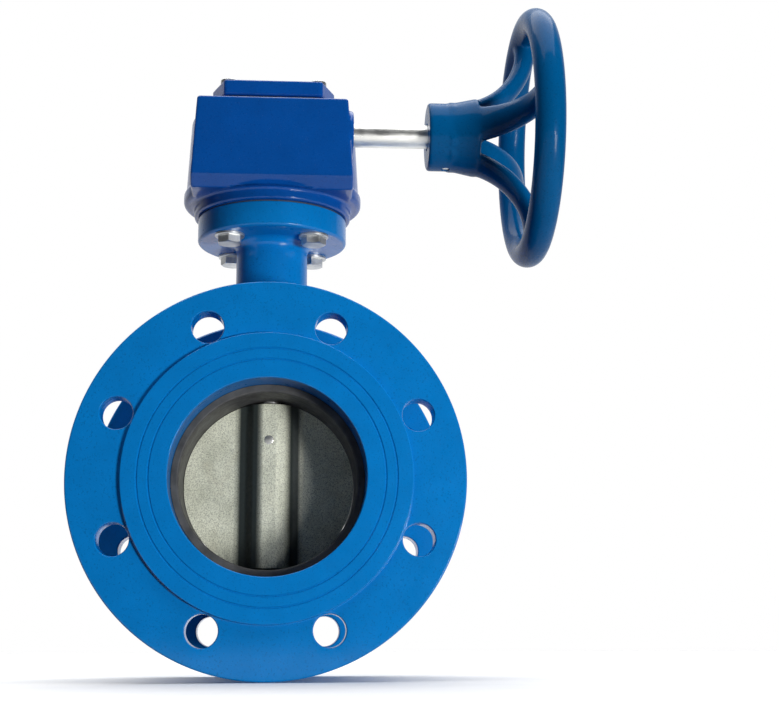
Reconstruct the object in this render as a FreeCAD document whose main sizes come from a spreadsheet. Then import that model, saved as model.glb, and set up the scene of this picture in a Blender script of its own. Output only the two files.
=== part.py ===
"""Double-flanged butterfly valve, DN100 PN16, with a worm gear operator and a handwheel.

Frame: the origin is the centre of the inlet flange's raised face. +Y runs along the pipe, from
inlet to outlet, +Z runs up the stem and +X points to the handwheel. All sizes are in millimetres.
The valve is modelled closed.
"""
import FreeCAD, Part
import math
import os

import Sketcher

SIZES = {
    # pipe flanges, EN 1092 PN16, and the short face-to-face length of EN 558
    "face_to_face": 127.0,
    "flange_od": 220.0,
    "flange_thickness": 19.0,
    "raised_face_od": 160.0,
    "raised_face_height": 3.0,
    "bolt_circle": 180.0,
    "bolt_hole_od": 18.0,
    "bolt_count": 8.0,
    "gasket_ring_inner": 64.3,
    "gasket_ring_outer": 70.5,
    "gasket_ring_width": 1.2,
    "gasket_ring_depth": 0.4,
    # body casting
    "bore_radius": 54.5,
    "barrel_radius": 66.0,
    "barrel_round": 5.0,
    "neck_radius": 21.5,
    "neck_start": 50.0,
    "neck_round": 5.0,
    "pad_underside": 147.5,
    "pad_top": 162.5,
    "pad_radius": 45.0,
    "pad_round": 1.5,
    "boss_radius": 19.0,
    "boss_bottom": 92.0,
    "stem_bore_radius": 10.02,
    "plug_bore_radius": 12.02,
    "plug_bore_top": 85.0,
    "clip_recess_radius": 14.0,
    "clip_recess_floor": 157.0,
    # rubber seat and disc
    "seat_radius": 50.0,
    "seat_end_gap": 22.0,
    "disc_radius": 49.7,
    "disc_half_thickness": 4.0,
    "hub_crown": 14.0,
    "hub_crown_half_width": 5.0,
    "hub_flank_half_width": 13.5,
    "hub_foot_half_width": 19.5,
    "disc_bore_radius": 8.02,
    "disc_pin_radius": 2.7,
    "disc_pin_level": 26.4,
    "fit_gap": 0.02,
    # stem and its bearings
    "stem_radius": 8.0,
    "stem_bottom": 84.0,
    "stem_shoulder": 177.0,
    "stem_top": 222.0,
    "stem_square": 11.0,
    "running_gap": 0.05,
    "upper_bush_low": 126.0,
    "upper_bush_high": 150.0,
    "middle_bush_low": 58.0,
    "middle_bush_high": 76.0,
    "lower_bush_low": -82.0,
    "lower_bush_high": -60.0,
    "ring_section": 0.93,
    "ring_centre": 9.02,
    "ring_level": 152.0,
    "ring_step": 2.6,
    "clip_groove_radius": 7.3,
    "clip_outer_radius": 12.0,
    "clip_level": 158.5,
    "clip_thickness": 1.2,
    # bottom plug
    "plug_flats": 27.0,
    "plug_head": 7.0,
    "plug_washer_radius": 17.0,
    "plug_washer_thickness": 1.5,
    # operator mounting, ISO 5211 F07
    "pad_bolt_circle": 70.0,
    "pad_hole_radius": 4.5,
    "mounting_gasket_thickness": 0.6,
    "mounting_gasket_radius": 44.0,
    "mounting_bolt_radius": 4.0,
    "mounting_bolt_reach": 171.0,
    "mounting_bolt_flats": 13.0,
    "mounting_bolt_head": 4.6,
    "mounting_washer_radius": 8.8,
    "mounting_washer_thickness": 1.6,
    "tapped_depth": 11.0,
    # gearbox housing
    "housing_foot": 163.1,
    "foot_radius": 47.5,
    "skirt_low": 170.0,
    "skirt_high": 177.5,
    "skirt_radius": 54.0,
    "skirt_round": 5.0,
    "housing_low_radius": 52.5,
    "housing_radius": 50.0,
    "housing_top": 225.0,
    "front_face": 49.0,
    "front_low": 177.0,
    "front_high": 225.0,
    "front_half_low": 47.3,
    "front_half_high": 44.4,
    "front_bevel": 5.0,
    "chamber_radius": 44.5,
    "chamber_floor": 177.5,
    "chamber_roof": 219.0,
    "deck_opening_radius": 33.0,
    "bearing_block_inner": 21.2,
    "bearing_block_back": 24.0,
    "bearing_block_top": 219.5,
    "land_top": 229.5,
    "stem_hole_radius": 10.0,
    # cover, an eight-sided plate
    "cover_gasket_top": 231.0,
    "cover_top": 240.5,
    "cover_front_half": 29.0,
    "cover_side_half": 37.0,
    "cover_front": 36.0,
    "cover_shoulder": 16.0,
    "land_inset": 2.5,
    "cover_screw_circle": 76.0,
    "cover_screw_radius": 3.0,
    "cover_screw_hole": 3.3,
    "cover_screw_head_radius": 5.0,
    "cover_screw_head": 2.8,
    "cover_screw_end": 223.0,
    # worm gear, module 1.5, one start, left-hand so that the handwheel closes clockwise
    "gear_module": 1.5,
    "gear_teeth": 36.0,
    "centre_distance": 34.5,
    "worm_level": 207.0,
    "tooth_face_half": 5.0,
    "tooth_backlash": 0.16,
    "wheel_hub_radius": 17.0,
    "wheel_hub_low": 178.3,
    "wheel_hub_high": 226.0,
    "wheel_square_gap": 0.05,
    "sector_half_angle": 65.0,
    "spigot_radius": 9.0,
    "spigot_top": 241.3,
    "thread_half_length": 17.0,
    "collar_radius": 8.5,
    "collar_end": 19.0,
    "shaft_radius": 7.0,
    "shaft_left_end": 40.0,
    "shaft_right_end": 117.0,
    "tunnel_radius": 11.3,
    "washer_radius": 11.0,
    "washer_gap": 0.1,
    "bush_radius": 9.0,
    "bush_end": 36.0,
    "blind_end": 41.0,
    "gland_bore_radius": 11.0,
    "gland_boss_radius": 14.5,
    "gland_boss_end": 47.8,
    "gland_end": 46.8,
    "seal_end": 41.5,
    # stop screws
    "stop_offset": 20.7,
    "stop_tip": 9.4,
    "stop_end": 62.0,
    "stop_radius": 4.0,
    "stop_boss_radius": 8.0,
    "stop_boss_start": 42.0,
    "stop_boss_end": 52.0,
    "stop_nut_flats": 13.0,
    "stop_nut_height": 6.5,
    # position pointer
    "pointer_radius": 18.0,
    "pointer_thickness": 2.5,
    "pointer_neck": 5.0,
    "pointer_screw_radius": 2.5,
    "pointer_screw_depth": 10.0,
    "pointer_screw_head_radius": 4.2,
    "pointer_screw_head": 2.4,
    "pointer_seal_section": 1.4,
    "pointer_seal_level": 235.0,
    # handwheel
    "wheel_plane": 154.3,
    "rim_radius": 68.5,
    "rim_section": 8.8,
    "wheel_hub_start": 92.0,
    "wheel_hub_outer": 20.2,
    "wheel_flare_start": 106.0,
    "wheel_flare_end": 122.0,
    "wheel_flare_radius": 23.6,
    "wheel_back": 122.6,
    "wheel_back_radius": 17.0,
    "wheel_eye": 118.0,
    "spoke_count": 4.0,
    "spoke_half_thickness": 5.6,
    "spoke_half_width": 8.5,
    "spoke_turn": -8.0,
    "spoke_start_radius": 14.5,
    "spoke_bend": 49.5,
    "wheel_pin_level": 103.0,
    "wheel_pin_radius": 2.5,
    "wheel_pin_half_length": 19.5,
}

doc = FreeCAD.newDocument("butterfly_valve")
sheet = doc.addObject("Spreadsheet::Sheet", "dims")
for row, (alias, number) in enumerate(SIZES.items(), start=1):
    sheet.set(f"A{row}", alias)
    sheet.set(f"B{row}", str(number))
    sheet.setAlias(f"B{row}", alias)
doc.recompute()

# Where the axes lie: the stem crosses the pipe at mid length, and the worm passes in front of it.
STEM_Y = "dims.face_to_face / 2"
WORM_Y = "dims.face_to_face / 2 - dims.centre_distance"
WORM_Z = "dims.worm_level"

parts = []


def size(alias):
    """A driving size, read from the sheet."""
    return float(sheet.get(alias))


def listed(item, label):
    """Name a finished sub-part and list it for writing."""
    item.Label = label
    parts.append(item)
    return item


def place_on_stem(item):
    """Put an item's own Z axis on the stem's axis, at the level of the pipe's axis."""
    item.setExpression("Placement.Base.y", STEM_Y)


def place_on_worm(item):
    """Lay an item's own Z axis along the worm, so that it runs towards the handwheel."""
    item.Placement = FreeCAD.Placement(
        FreeCAD.Vector(0, 0, 0), FreeCAD.Rotation(FreeCAD.Vector(0, 1, 0), 90)
    )
    item.setExpression("Placement.Base.y", WORM_Y)
    item.setExpression("Placement.Base.z", WORM_Z)


def new_body(label, place=place_on_stem):
    """An empty body, listed under its label and placed on its axis."""
    body = doc.addObject("PartDesign::Body", label)
    body.AllowCompound = True
    place(body)
    return listed(body, label)


def origin_feature(body, role):
    return next(item for item in body.Origin.OriginFeatures if item.Role == role)


def new_sketch(body, role, level=None):
    """A sketch on one of the body's own planes, moved along its normal to a level."""
    sketch = body.newObject("Sketcher::SketchObject", f"{body.Name}_sketch")
    sketch.AttachmentSupport = (origin_feature(body, role), [""])
    sketch.MapMode = "FlatFace"
    if level is not None:
        sketch.setExpression("AttachmentOffset.Base.z", level)
    return sketch


def pin_point(sketch, geometry, end, across, up):
    """Fix a point of the sketch at two expressions, measured from the sketch's origin."""
    for kind, axis, rule in (("DistanceX", -2, across), ("DistanceY", -1, up)):
        if rule == "0":
            sketch.addConstraint(Sketcher.Constraint("PointOnObject", geometry, end, axis))
            continue
        start = float(sketch.evalExpression(rule))
        index = sketch.addConstraint(Sketcher.Constraint(kind, -1, 1, geometry, end, start))
        sketch.setExpression(f"Constraints[{index}]", rule)


def outline(sketch, corners):
    """A closed outline with straight sides through corners given as pairs of expressions."""
    points = [
        FreeCAD.Vector(*(float(sketch.evalExpression(rule)) for rule in corner), 0)
        for corner in corners
    ]
    count = len(points)
    first = sketch.GeometryCount
    for index in range(count):
        side = Part.LineSegment(points[index], points[(index + 1) % count])
        sketch.addGeometry(side, False)
    for index in range(count):
        joint = (first + index, 2, first + (index + 1) % count, 1)
        sketch.addConstraint(Sketcher.Constraint("Coincident", *joint))
    for index, (across, up) in enumerate(corners):
        pin_point(sketch, first + index, 1, across, up)
    return sketch


def ring(sketch, across, up, radius):
    """A circle with its centre and its radius given as expressions."""
    centre = FreeCAD.Vector(
        float(sketch.evalExpression(across)), float(sketch.evalExpression(up)), 0
    )
    start = float(sketch.evalExpression(radius))
    circle = Part.Circle(centre, FreeCAD.Vector(0, 0, 1), start)
    index = sketch.addGeometry(circle, False)
    pin_point(sketch, index, 3, across, up)
    constraint = sketch.addConstraint(Sketcher.Constraint("Radius", index, start))
    sketch.setExpression(f"Constraints[{constraint}]", radius)
    return sketch


def oval(sketch, across, half_height, half_width):
    """An upright ellipse with its centre on the sketch's horizontal axis."""
    centre = FreeCAD.Vector(float(sketch.evalExpression(across)), 0, 0)
    rise = FreeCAD.Vector(0, float(sketch.evalExpression(half_height)), 0)
    reach = FreeCAD.Vector(float(sketch.evalExpression(half_width)), 0, 0)
    ellipse = Part.Ellipse(centre + rise, centre + reach, centre)
    index = sketch.addGeometry(ellipse, False)
    sketch.exposeInternalGeometry(index)
    pin_point(sketch, index, 3, across, "0")
    major, minor = index + 1, index + 2
    sketch.addConstraint(Sketcher.Constraint("Vertical", major))
    for line, rule in ((major, half_height), (minor, half_width)):
        start = 2 * float(sketch.evalExpression(rule))
        constraint = sketch.addConstraint(Sketcher.Constraint("Distance", line, start))
        sketch.setExpression(f"Constraints[{constraint}]", f"2 * {rule}")
    return sketch


def hexagon(sketch, across, up, flats):
    """A hexagon with its centre and its width across flats given as expressions."""
    corners = []
    for side, rise in ((0, 2), (1, 1), (1, -1), (0, -2), (-1, -1), (-1, 1)):
        corners.append(
            (
                f"{across} + {side} * {flats} / 2" if side else across,
                f"{up} + {rise} * {flats} / sqrt(12)",
            )
        )
    return outline(sketch, corners)


def solid_volume(body):
    doc.recompute()
    shape = body.Shape
    return 0.0 if shape.isNull() else shape.Volume


def must_change(body, before, sign):
    """Stop if the last feature added nothing or cut nothing."""
    after = solid_volume(body)
    if (after - before) * sign <= 1e-6:
        raise RuntimeError(f"a feature of {body.Label} changed nothing")


def turn(body, sketch, kind="Revolution", axis="V_Axis", angle=360):
    """Turn a sketch around one of its axes, as a solid or as a groove."""
    before = solid_volume(body)
    feature = body.newObject(f"PartDesign::{kind}", f"{body.Name}_turn")
    feature.Profile = sketch
    feature.ReferenceAxis = (sketch, [axis])
    feature.Angle = angle
    must_change(body, before, 1 if kind == "Revolution" else -1)
    return feature


def extrude(body, sketch, length, kind="Pad", reverse=False, both=False):
    """Pad or pocket a sketch along its normal. A pocket normally cuts against the normal."""
    before = solid_volume(body)
    feature = body.newObject(f"PartDesign::{kind}", f"{body.Name}_extrude")
    feature.Profile = sketch
    feature.Reversed = reverse
    feature.Midplane = both
    feature.setExpression("Length", length)
    must_change(body, before, 1 if kind == "Pad" else -1)
    return feature


def polar_copies(body, features, count, axis="Z_Axis"):
    """Repeat features evenly around one of the body's own axes."""
    pattern = body.newObject("PartDesign::PolarPattern", f"{body.Name}_pattern")
    pattern.Originals = features
    pattern.Axis = (origin_feature(body, axis), [""])
    pattern.Angle = 360
    pattern.setExpression("Occurrences", count)
    body.Tip = pattern
    doc.recompute()
    return pattern


def mirror_copies(body, features, plane="YZ_Plane"):
    """Repeat features on the other side of one of the body's own planes."""
    mirror = body.newObject("PartDesign::Mirrored", f"{body.Name}_mirror")
    mirror.Originals = features
    mirror.MirrorPlane = (origin_feature(body, plane), [""])
    body.Tip = mirror
    doc.recompute()
    return mirror


def round_circles(body, radius, wanted):
    """Round the circular edges whose radius and centre height wanted() accepts."""
    base = body.Tip
    names = []
    for number, edge in enumerate(base.Shape.Edges, start=1):
        curve = edge.Curve
        if isinstance(curve, Part.Circle) and wanted(curve.Radius, curve.Center):
            names.append(f"Edge{number}")
    fillet = body.newObject("PartDesign::Fillet", f"{body.Name}_round")
    fillet.Base = (base, names)
    fillet.setExpression("Radius", radius)
    doc.recompute()
    return fillet


def turned(label, corners, place=place_on_stem):
    """A sub-part turned on a lathe: (radius, level) corners around its own Z axis."""
    body = new_body(label, place)
    turn(body, outline(new_sketch(body, "XZ_Plane"), corners))
    return body


def tube(label, inner, outer, low, high, place=place_on_stem):
    """A plain ring or sleeve."""
    corners = [(inner, low), (outer, low), (outer, high), (inner, high)]
    return turned(label, corners, place)


def near(value, target):
    return abs(value - target) < 0.01


def make_valve_body():
    """The casting: two flanges on a barrel, a neck with the operator pad, and a bottom boss."""
    body = new_body("valve_body")
    half = "dims.face_to_face / 2"
    step = f"({half} - dims.raised_face_height)"
    inner = f"({half} - dims.flange_thickness)"
    turn(
        body,
        outline(
            new_sketch(body, "YZ_Plane"),
            [
                (f"-{half}", "dims.bore_radius"),
                (f"-{half}", "dims.raised_face_od / 2"),
                (f"-{step}", "dims.raised_face_od / 2"),
                (f"-{step}", "dims.flange_od / 2"),
                (f"-{inner}", "dims.flange_od / 2"),
                (f"-{inner}", "dims.barrel_radius"),
                (inner, "dims.barrel_radius"),
                (inner, "dims.flange_od / 2"),
                (step, "dims.flange_od / 2"),
                (step, "dims.raised_face_od / 2"),
                (half, "dims.raised_face_od / 2"),
                (half, "dims.bore_radius"),
            ],
        ),
        axis="H_Axis",
    )
    edge_y = size("face_to_face") / 2 - size("flange_thickness")
    round_circles(
        body,
        "dims.barrel_round",
        lambda radius, centre: near(radius, size("barrel_radius")) and near(abs(centre.y), edge_y),
    )
    # neck and operator pad above, bearing boss below
    turn(
        body,
        outline(
            new_sketch(body, "XZ_Plane"),
            [
                ("0", "dims.neck_start"),
                ("dims.neck_radius", "dims.neck_start"),
                ("dims.neck_radius", "dims.pad_underside"),
                ("dims.pad_radius", "dims.pad_underside"),
                ("dims.pad_radius", "dims.pad_top"),
                ("0", "dims.pad_top"),
            ],
        ),
    )
    round_circles(
        body,
        "dims.neck_round",
        lambda radius, centre: near(radius, size("neck_radius"))
        and near(centre.z, size("pad_underside")),
    )
    round_circles(
        body,
        "dims.pad_round",
        lambda radius, centre: near(radius, size("pad_radius"))
        and near(centre.z, size("pad_underside")),
    )
    turn(
        body,
        outline(
            new_sketch(body, "XZ_Plane"),
            [
                ("0", "-dims.neck_start"),
                ("dims.boss_radius", "-dims.neck_start"),
                ("dims.boss_radius", "-dims.boss_bottom"),
                ("0", "-dims.boss_bottom"),
            ],
        ),
    )
    # the neck and the boss start inside the bore, so the bore is cut again
    bore = ring(new_sketch(body, "XZ_Plane"), "0", "0", "dims.bore_radius")
    extrude(body, bore, "dims.face_to_face + 2", "Pocket", both=True)
    # the stem's bore, with a recess for the circlip above and a thread for the plug below
    turn(
        body,
        outline(
            new_sketch(body, "XZ_Plane"),
            [
                ("0", "-dims.boss_bottom - 1"),
                ("dims.plug_bore_radius", "-dims.boss_bottom - 1"),
                ("dims.plug_bore_radius", "-dims.plug_bore_top"),
                ("dims.stem_bore_radius", "-dims.plug_bore_top"),
                ("dims.stem_bore_radius", "dims.clip_recess_floor"),
                ("dims.clip_recess_radius", "dims.clip_recess_floor"),
                ("dims.clip_recess_radius", "dims.pad_top + 1"),
                ("0", "dims.pad_top + 1"),
            ],
        ),
        kind="Groove",
    )
    # bolt holes straddle the vertical, as pipe flanges are drilled
    spot = f"dims.bolt_circle / 2 * sin(180 / dims.bolt_count)"
    lift = f"dims.bolt_circle / 2 * cos(180 / dims.bolt_count)"
    hole = ring(new_sketch(body, "XZ_Plane"), spot, lift, "dims.bolt_hole_od / 2")
    flange_hole = extrude(body, hole, "dims.face_to_face + 2", "Pocket", both=True)
    polar_copies(body, [flange_hole], "dims.bolt_count", "Y_Axis")
    pad_spot = "dims.pad_bolt_circle / sqrt(8)"
    pad_hole = ring(new_sketch(body, "XY_Plane", "dims.pad_top"), pad_spot, pad_spot, "dims.pad_hole_radius")
    pad_cut = extrude(body, pad_hole, "dims.pad_top - dims.pad_underside + 1", "Pocket")
    polar_copies(body, [pad_cut], "4")
    # two fine rings turned into each raised face grip the pipe gaskets
    for side in (-1, 1):
        for start in ("dims.gasket_ring_inner", "dims.gasket_ring_outer"):
            floor = f"{side} * ({half} - dims.gasket_ring_depth)"
            mouth = f"{side} * ({half} + 1)"
            end = f"{start} + dims.gasket_ring_width"
            turn(
                body,
                outline(
                    new_sketch(body, "YZ_Plane"),
                    [(floor, start), (mouth, start), (mouth, end), (floor, end)],
                ),
                kind="Groove",
                axis="H_Axis",
            )
    return body


def make_seat_liner():
    """The rubber sleeve in the bore, with a hole above and below for the stem."""
    body = new_body("seat_liner")
    end = "(dims.face_to_face / 2 - dims.seat_end_gap)"
    turn(
        body,
        outline(
            new_sketch(body, "YZ_Plane"),
            [
                (f"-{end}", "dims.seat_radius"),
                (f"-{end}", "dims.bore_radius - dims.fit_gap"),
                (end, "dims.bore_radius - dims.fit_gap"),
                (end, "dims.seat_radius"),
            ],
        ),
        axis="H_Axis",
    )
    hole = ring(new_sketch(body, "XY_Plane"), "0", "0", "dims.stem_radius + dims.running_gap")
    extrude(body, hole, "dims.flange_od", "Pocket", both=True)
    return body


def make_disc():
    """The disc: a plate with a hub along the stem, rounded off to a ball so that it can turn."""
    plan = doc.addObject("PartDesign::Body", "disc_plan")
    half = [
        ("dims.disc_radius", "dims.disc_half_thickness"),
        ("dims.hub_foot_half_width", "dims.disc_half_thickness"),
        ("dims.hub_flank_half_width", "dims.disc_half_thickness + 2.4"),
        ("dims.hub_crown_half_width + 4.5", "dims.hub_crown - 3"),
        ("dims.hub_crown_half_width", "dims.hub_crown"),
    ]
    front = [(across, f"-({up})") for across, up in half]
    left = [(f"-({across})", up) for across, up in half]
    left_front = [(f"-({across})", f"-({up})") for across, up in half]
    corners = half + left[::-1] + left_front + front[::-1]
    extrude(plan, outline(new_sketch(plan, "XY_Plane"), corners), "2 * dims.disc_radius", both=True)
    ball = doc.addObject("Part::Sphere", "disc_ball")
    ball.setExpression("Radius", "dims.disc_radius")
    blank = doc.addObject("Part::Common", "disc_blank")
    blank.Base = plan
    blank.Tool = ball
    stem_hole = doc.addObject("Part::Cylinder", "disc_stem_hole")
    stem_hole.setExpression("Radius", "dims.disc_bore_radius")
    stem_hole.setExpression("Height", "dims.flange_od")
    stem_hole.setExpression("Placement.Base.z", "-dims.flange_od / 2")
    pin_hole = doc.addObject("Part::Cylinder", "disc_pin_hole")
    pin_hole.Placement.Rotation = FreeCAD.Rotation(FreeCAD.Vector(1, 0, 0), 90)
    pin_hole.setExpression("Radius", "dims.disc_pin_radius + dims.fit_gap")
    pin_hole.setExpression("Height", "dims.flange_od")
    pin_hole.setExpression("Placement.Base.y", "dims.flange_od / 2")
    pin_hole.setExpression("Placement.Base.z", "dims.disc_pin_level")
    holes = doc.addObject("Part::Fuse", "disc_holes")
    holes.Base = stem_hole
    holes.Tool = pin_hole
    disc = doc.addObject("Part::Cut", "disc")
    disc.Base = blank
    disc.Tool = holes
    place_on_stem(disc)
    return listed(disc, "disc")


def make_disc_pin():
    """The pin through hub and stem that drives the disc."""
    body = new_body("disc_pin")
    pin = ring(new_sketch(body, "XZ_Plane"), "0", "dims.disc_pin_level", "dims.disc_pin_radius")
    extrude(body, pin, "2 * dims.hub_crown + 0.8", both=True)
    return body


def make_stem():
    """One through shaft: round in its bearings, with a square end for the worm wheel."""
    body = turned(
        "stem",
        [
            ("0", "-dims.stem_bottom"),
            ("dims.stem_radius", "-dims.stem_bottom"),
            ("dims.stem_radius", "dims.clip_level"),
            ("dims.clip_groove_radius", "dims.clip_level"),
            ("dims.clip_groove_radius", "dims.clip_level + dims.clip_thickness + 0.1"),
            ("dims.stem_radius", "dims.clip_level + dims.clip_thickness + 0.1"),
            ("dims.stem_radius", "dims.stem_shoulder"),
            ("0", "dims.stem_shoulder"),
        ],
    )
    flat = "dims.stem_square / 2"
    corners = [(f"-{flat}", f"-{flat}"), (flat, f"-{flat}"), (flat, flat), (f"-{flat}", flat)]
    square = outline(new_sketch(body, "XY_Plane", "dims.stem_shoulder"), corners)
    extrude(body, square, "dims.stem_top - dims.stem_shoulder")
    hole = ring(
        new_sketch(body, "XZ_Plane"), "0", "dims.disc_pin_level", "dims.disc_pin_radius + dims.fit_gap"
    )
    extrude(body, hole, "4 * dims.stem_radius", "Pocket", both=True)
    return body


def make_stem_bearings():
    """Three bushes, two sealing rings and the circlip that keeps the stem in."""
    inner = "dims.stem_radius + dims.running_gap"
    outer = "dims.stem_bore_radius - dims.fit_gap"
    for name in ("upper", "middle", "lower"):
        low = f"dims.{name}_bush_low"
        tube(f"stem_bush_{name}", inner, outer, low, f"dims.{name}_bush_high")
    rings = new_body("stem_seal_rings")
    made = [
        turn(
            rings,
            ring(
                new_sketch(rings, "XZ_Plane"),
                "dims.ring_centre",
                f"dims.ring_level + {step} * dims.ring_step",
                "dims.ring_section",
            ),
        )
        for step in (0, 1)
    ]
    rings.Tip = made[-1]
    clip = tube(
        "stem_circlip",
        "dims.clip_groove_radius + dims.fit_gap",
        "dims.clip_outer_radius",
        "dims.clip_level + dims.fit_gap",
        "dims.clip_level + dims.clip_thickness",
    )
    gap = "dims.clip_groove_radius / 2"
    mouth = [
        (f"-{gap}", "dims.stem_radius / 4"),
        (gap, "dims.stem_radius / 4"),
        (gap, "2 * dims.stem_radius"),
        (f"-{gap}", "2 * dims.stem_radius"),
    ]
    cut = outline(new_sketch(clip, "XY_Plane", "dims.clip_level - 1"), mouth)
    extrude(clip, cut, "3 * dims.clip_thickness", "Pocket", reverse=True)


def make_bottom_plug():
    """The hexagon plug that closes the lower bearing, on its sealing washer."""
    seat = "-dims.boss_bottom - dims.plug_washer_thickness"
    plug = turned(
        "bottom_plug",
        [
            ("0", seat),
            ("dims.plug_bore_radius - dims.fit_gap", seat),
            ("dims.plug_bore_radius - dims.fit_gap", "-dims.plug_bore_top - 0.5"),
            ("0", "-dims.plug_bore_top - 0.5"),
        ],
    )
    head = hexagon(new_sketch(plug, "XY_Plane", seat), "0", "0", "dims.plug_flats")
    extrude(plug, head, "dims.plug_head", reverse=True)
    tube(
        "bottom_plug_washer",
        "dims.plug_bore_radius + 0.1",
        "dims.plug_washer_radius",
        seat,
        "-dims.boss_bottom",
    )


def make_operator_mounting():
    """Gasket, four bolts from below and their washers: the F07 joint under the gearbox."""
    gasket = tube(
        "mounting_gasket",
        "dims.clip_recess_radius + 1",
        "dims.mounting_gasket_radius",
        "dims.pad_top",
        "dims.housing_foot",
    )
    spot = "dims.pad_bolt_circle / sqrt(8)"
    hole = ring(new_sketch(gasket, "XY_Plane", "dims.pad_top"), spot, spot, "dims.pad_hole_radius")
    cut = extrude(gasket, hole, "2 * dims.mounting_gasket_thickness", "Pocket", reverse=True)
    polar_copies(gasket, [cut], "4")

    washers = new_body("mounting_washers")
    face = ring(
        new_sketch(washers, "XY_Plane", "dims.pad_underside"), spot, spot, "dims.mounting_washer_radius"
    )
    ring(face, spot, spot, "dims.pad_hole_radius - 0.2")
    washer = extrude(washers, face, "dims.mounting_washer_thickness", reverse=True)
    polar_copies(washers, [washer], "4")

    bolts = new_body("mounting_bolts")
    under = "dims.pad_underside - dims.mounting_washer_thickness"
    head = hexagon(new_sketch(bolts, "XY_Plane", under), spot, spot, "dims.mounting_bolt_flats")
    bolt_head = extrude(bolts, head, "dims.mounting_bolt_head", reverse=True)
    round_bar = ring(
        new_sketch(bolts, "XY_Plane", f"{under} - 1"), spot, spot, "dims.mounting_bolt_radius"
    )
    bolt_bar = extrude(bolts, round_bar, f"dims.mounting_bolt_reach - {under} + 1")
    polar_copies(bolts, [bolt_head, bolt_bar], "4")


def cover_corners(inset):
    """The eight corners of the cover's plan, moved in by an inset."""
    front_half = f"(dims.cover_front_half - {inset})"
    side_half = f"(dims.cover_side_half - {inset})"
    front = f"(dims.cover_front - {inset})"
    shoulder = f"(dims.cover_shoulder - {inset} / 2)"
    quarter = [(front_half, front), (side_half, shoulder)]
    right = quarter + [(across, f"-{up}") for across, up in quarter[::-1]]
    left = [(f"-{across}", up) for across, up in right[::-1]]
    return right + left


def make_gearbox_housing():
    """The gearbox casting: a round chamber for the worm wheel and a flat-fronted worm tunnel."""
    body = new_body("gearbox_housing")
    turn(
        body,
        outline(
            new_sketch(body, "XZ_Plane"),
            [
                ("0", "dims.housing_foot"),
                ("dims.foot_radius", "dims.housing_foot"),
                ("dims.foot_radius", "dims.skirt_low"),
                ("dims.skirt_radius", "dims.skirt_low"),
                ("dims.skirt_radius", "dims.skirt_high"),
                ("dims.housing_low_radius", "dims.skirt_high + 1"),
                ("dims.housing_radius", "dims.housing_top"),
                ("0", "dims.housing_top"),
            ],
        ),
    )
    round_circles(
        body,
        "dims.skirt_round",
        lambda radius, centre: near(radius, size("skirt_radius"))
        and near(centre.z, size("skirt_low")),
    )
    # the worm housing: a block with sloping sides, flush with the flat front
    block = outline(
        new_sketch(body, "XZ_Plane", "dims.bearing_block_back"),
        [
            ("-dims.front_half_low", "dims.skirt_low"),
            ("dims.front_half_low", "dims.skirt_low"),
            ("dims.front_half_low", "dims.front_low"),
            ("dims.front_half_high", "dims.front_high"),
            ("-dims.front_half_high", "dims.front_high"),
            ("-dims.front_half_low", "dims.front_low"),
        ],
    )
    extrude(body, block, "dims.front_face - dims.bearing_block_back")
    # flat front with a bevel under it
    clear = "-dims.skirt_radius - 5"
    front_cut = outline(
        new_sketch(body, "YZ_Plane"),
        [
            ("-dims.front_face", "dims.housing_top + 1"),
            ("-dims.front_face", "dims.front_low"),
            ("-dims.front_face + dims.front_bevel", "dims.skirt_low"),
            (clear, "dims.skirt_low"),
            (clear, "dims.housing_top + 1"),
        ],
    )
    extrude(body, front_cut, "4 * dims.skirt_radius", "Pocket", both=True)
    # boss for the gland, and bosses for the stop screws at the back
    gland_boss = ring(
        new_sketch(body, "YZ_Plane"), "-dims.centre_distance", "dims.worm_level", "dims.gland_boss_radius"
    )
    extrude(body, gland_boss, "dims.gland_boss_end")
    for side in ("", "-"):
        boss = ring(
            new_sketch(body, "XZ_Plane", "-dims.stop_boss_end"),
            f"{side}dims.stop_offset",
            "dims.worm_level",
            "dims.stop_boss_radius",
        )
        extrude(body, boss, "dims.stop_boss_end - dims.stop_boss_start")
    # raised land under the cover's gasket
    land = outline(new_sketch(body, "XY_Plane", "dims.housing_top"), cover_corners("dims.land_inset"))
    extrude(body, land, "dims.land_top - dims.housing_top")
    cut_housing(body)
    return body


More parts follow.
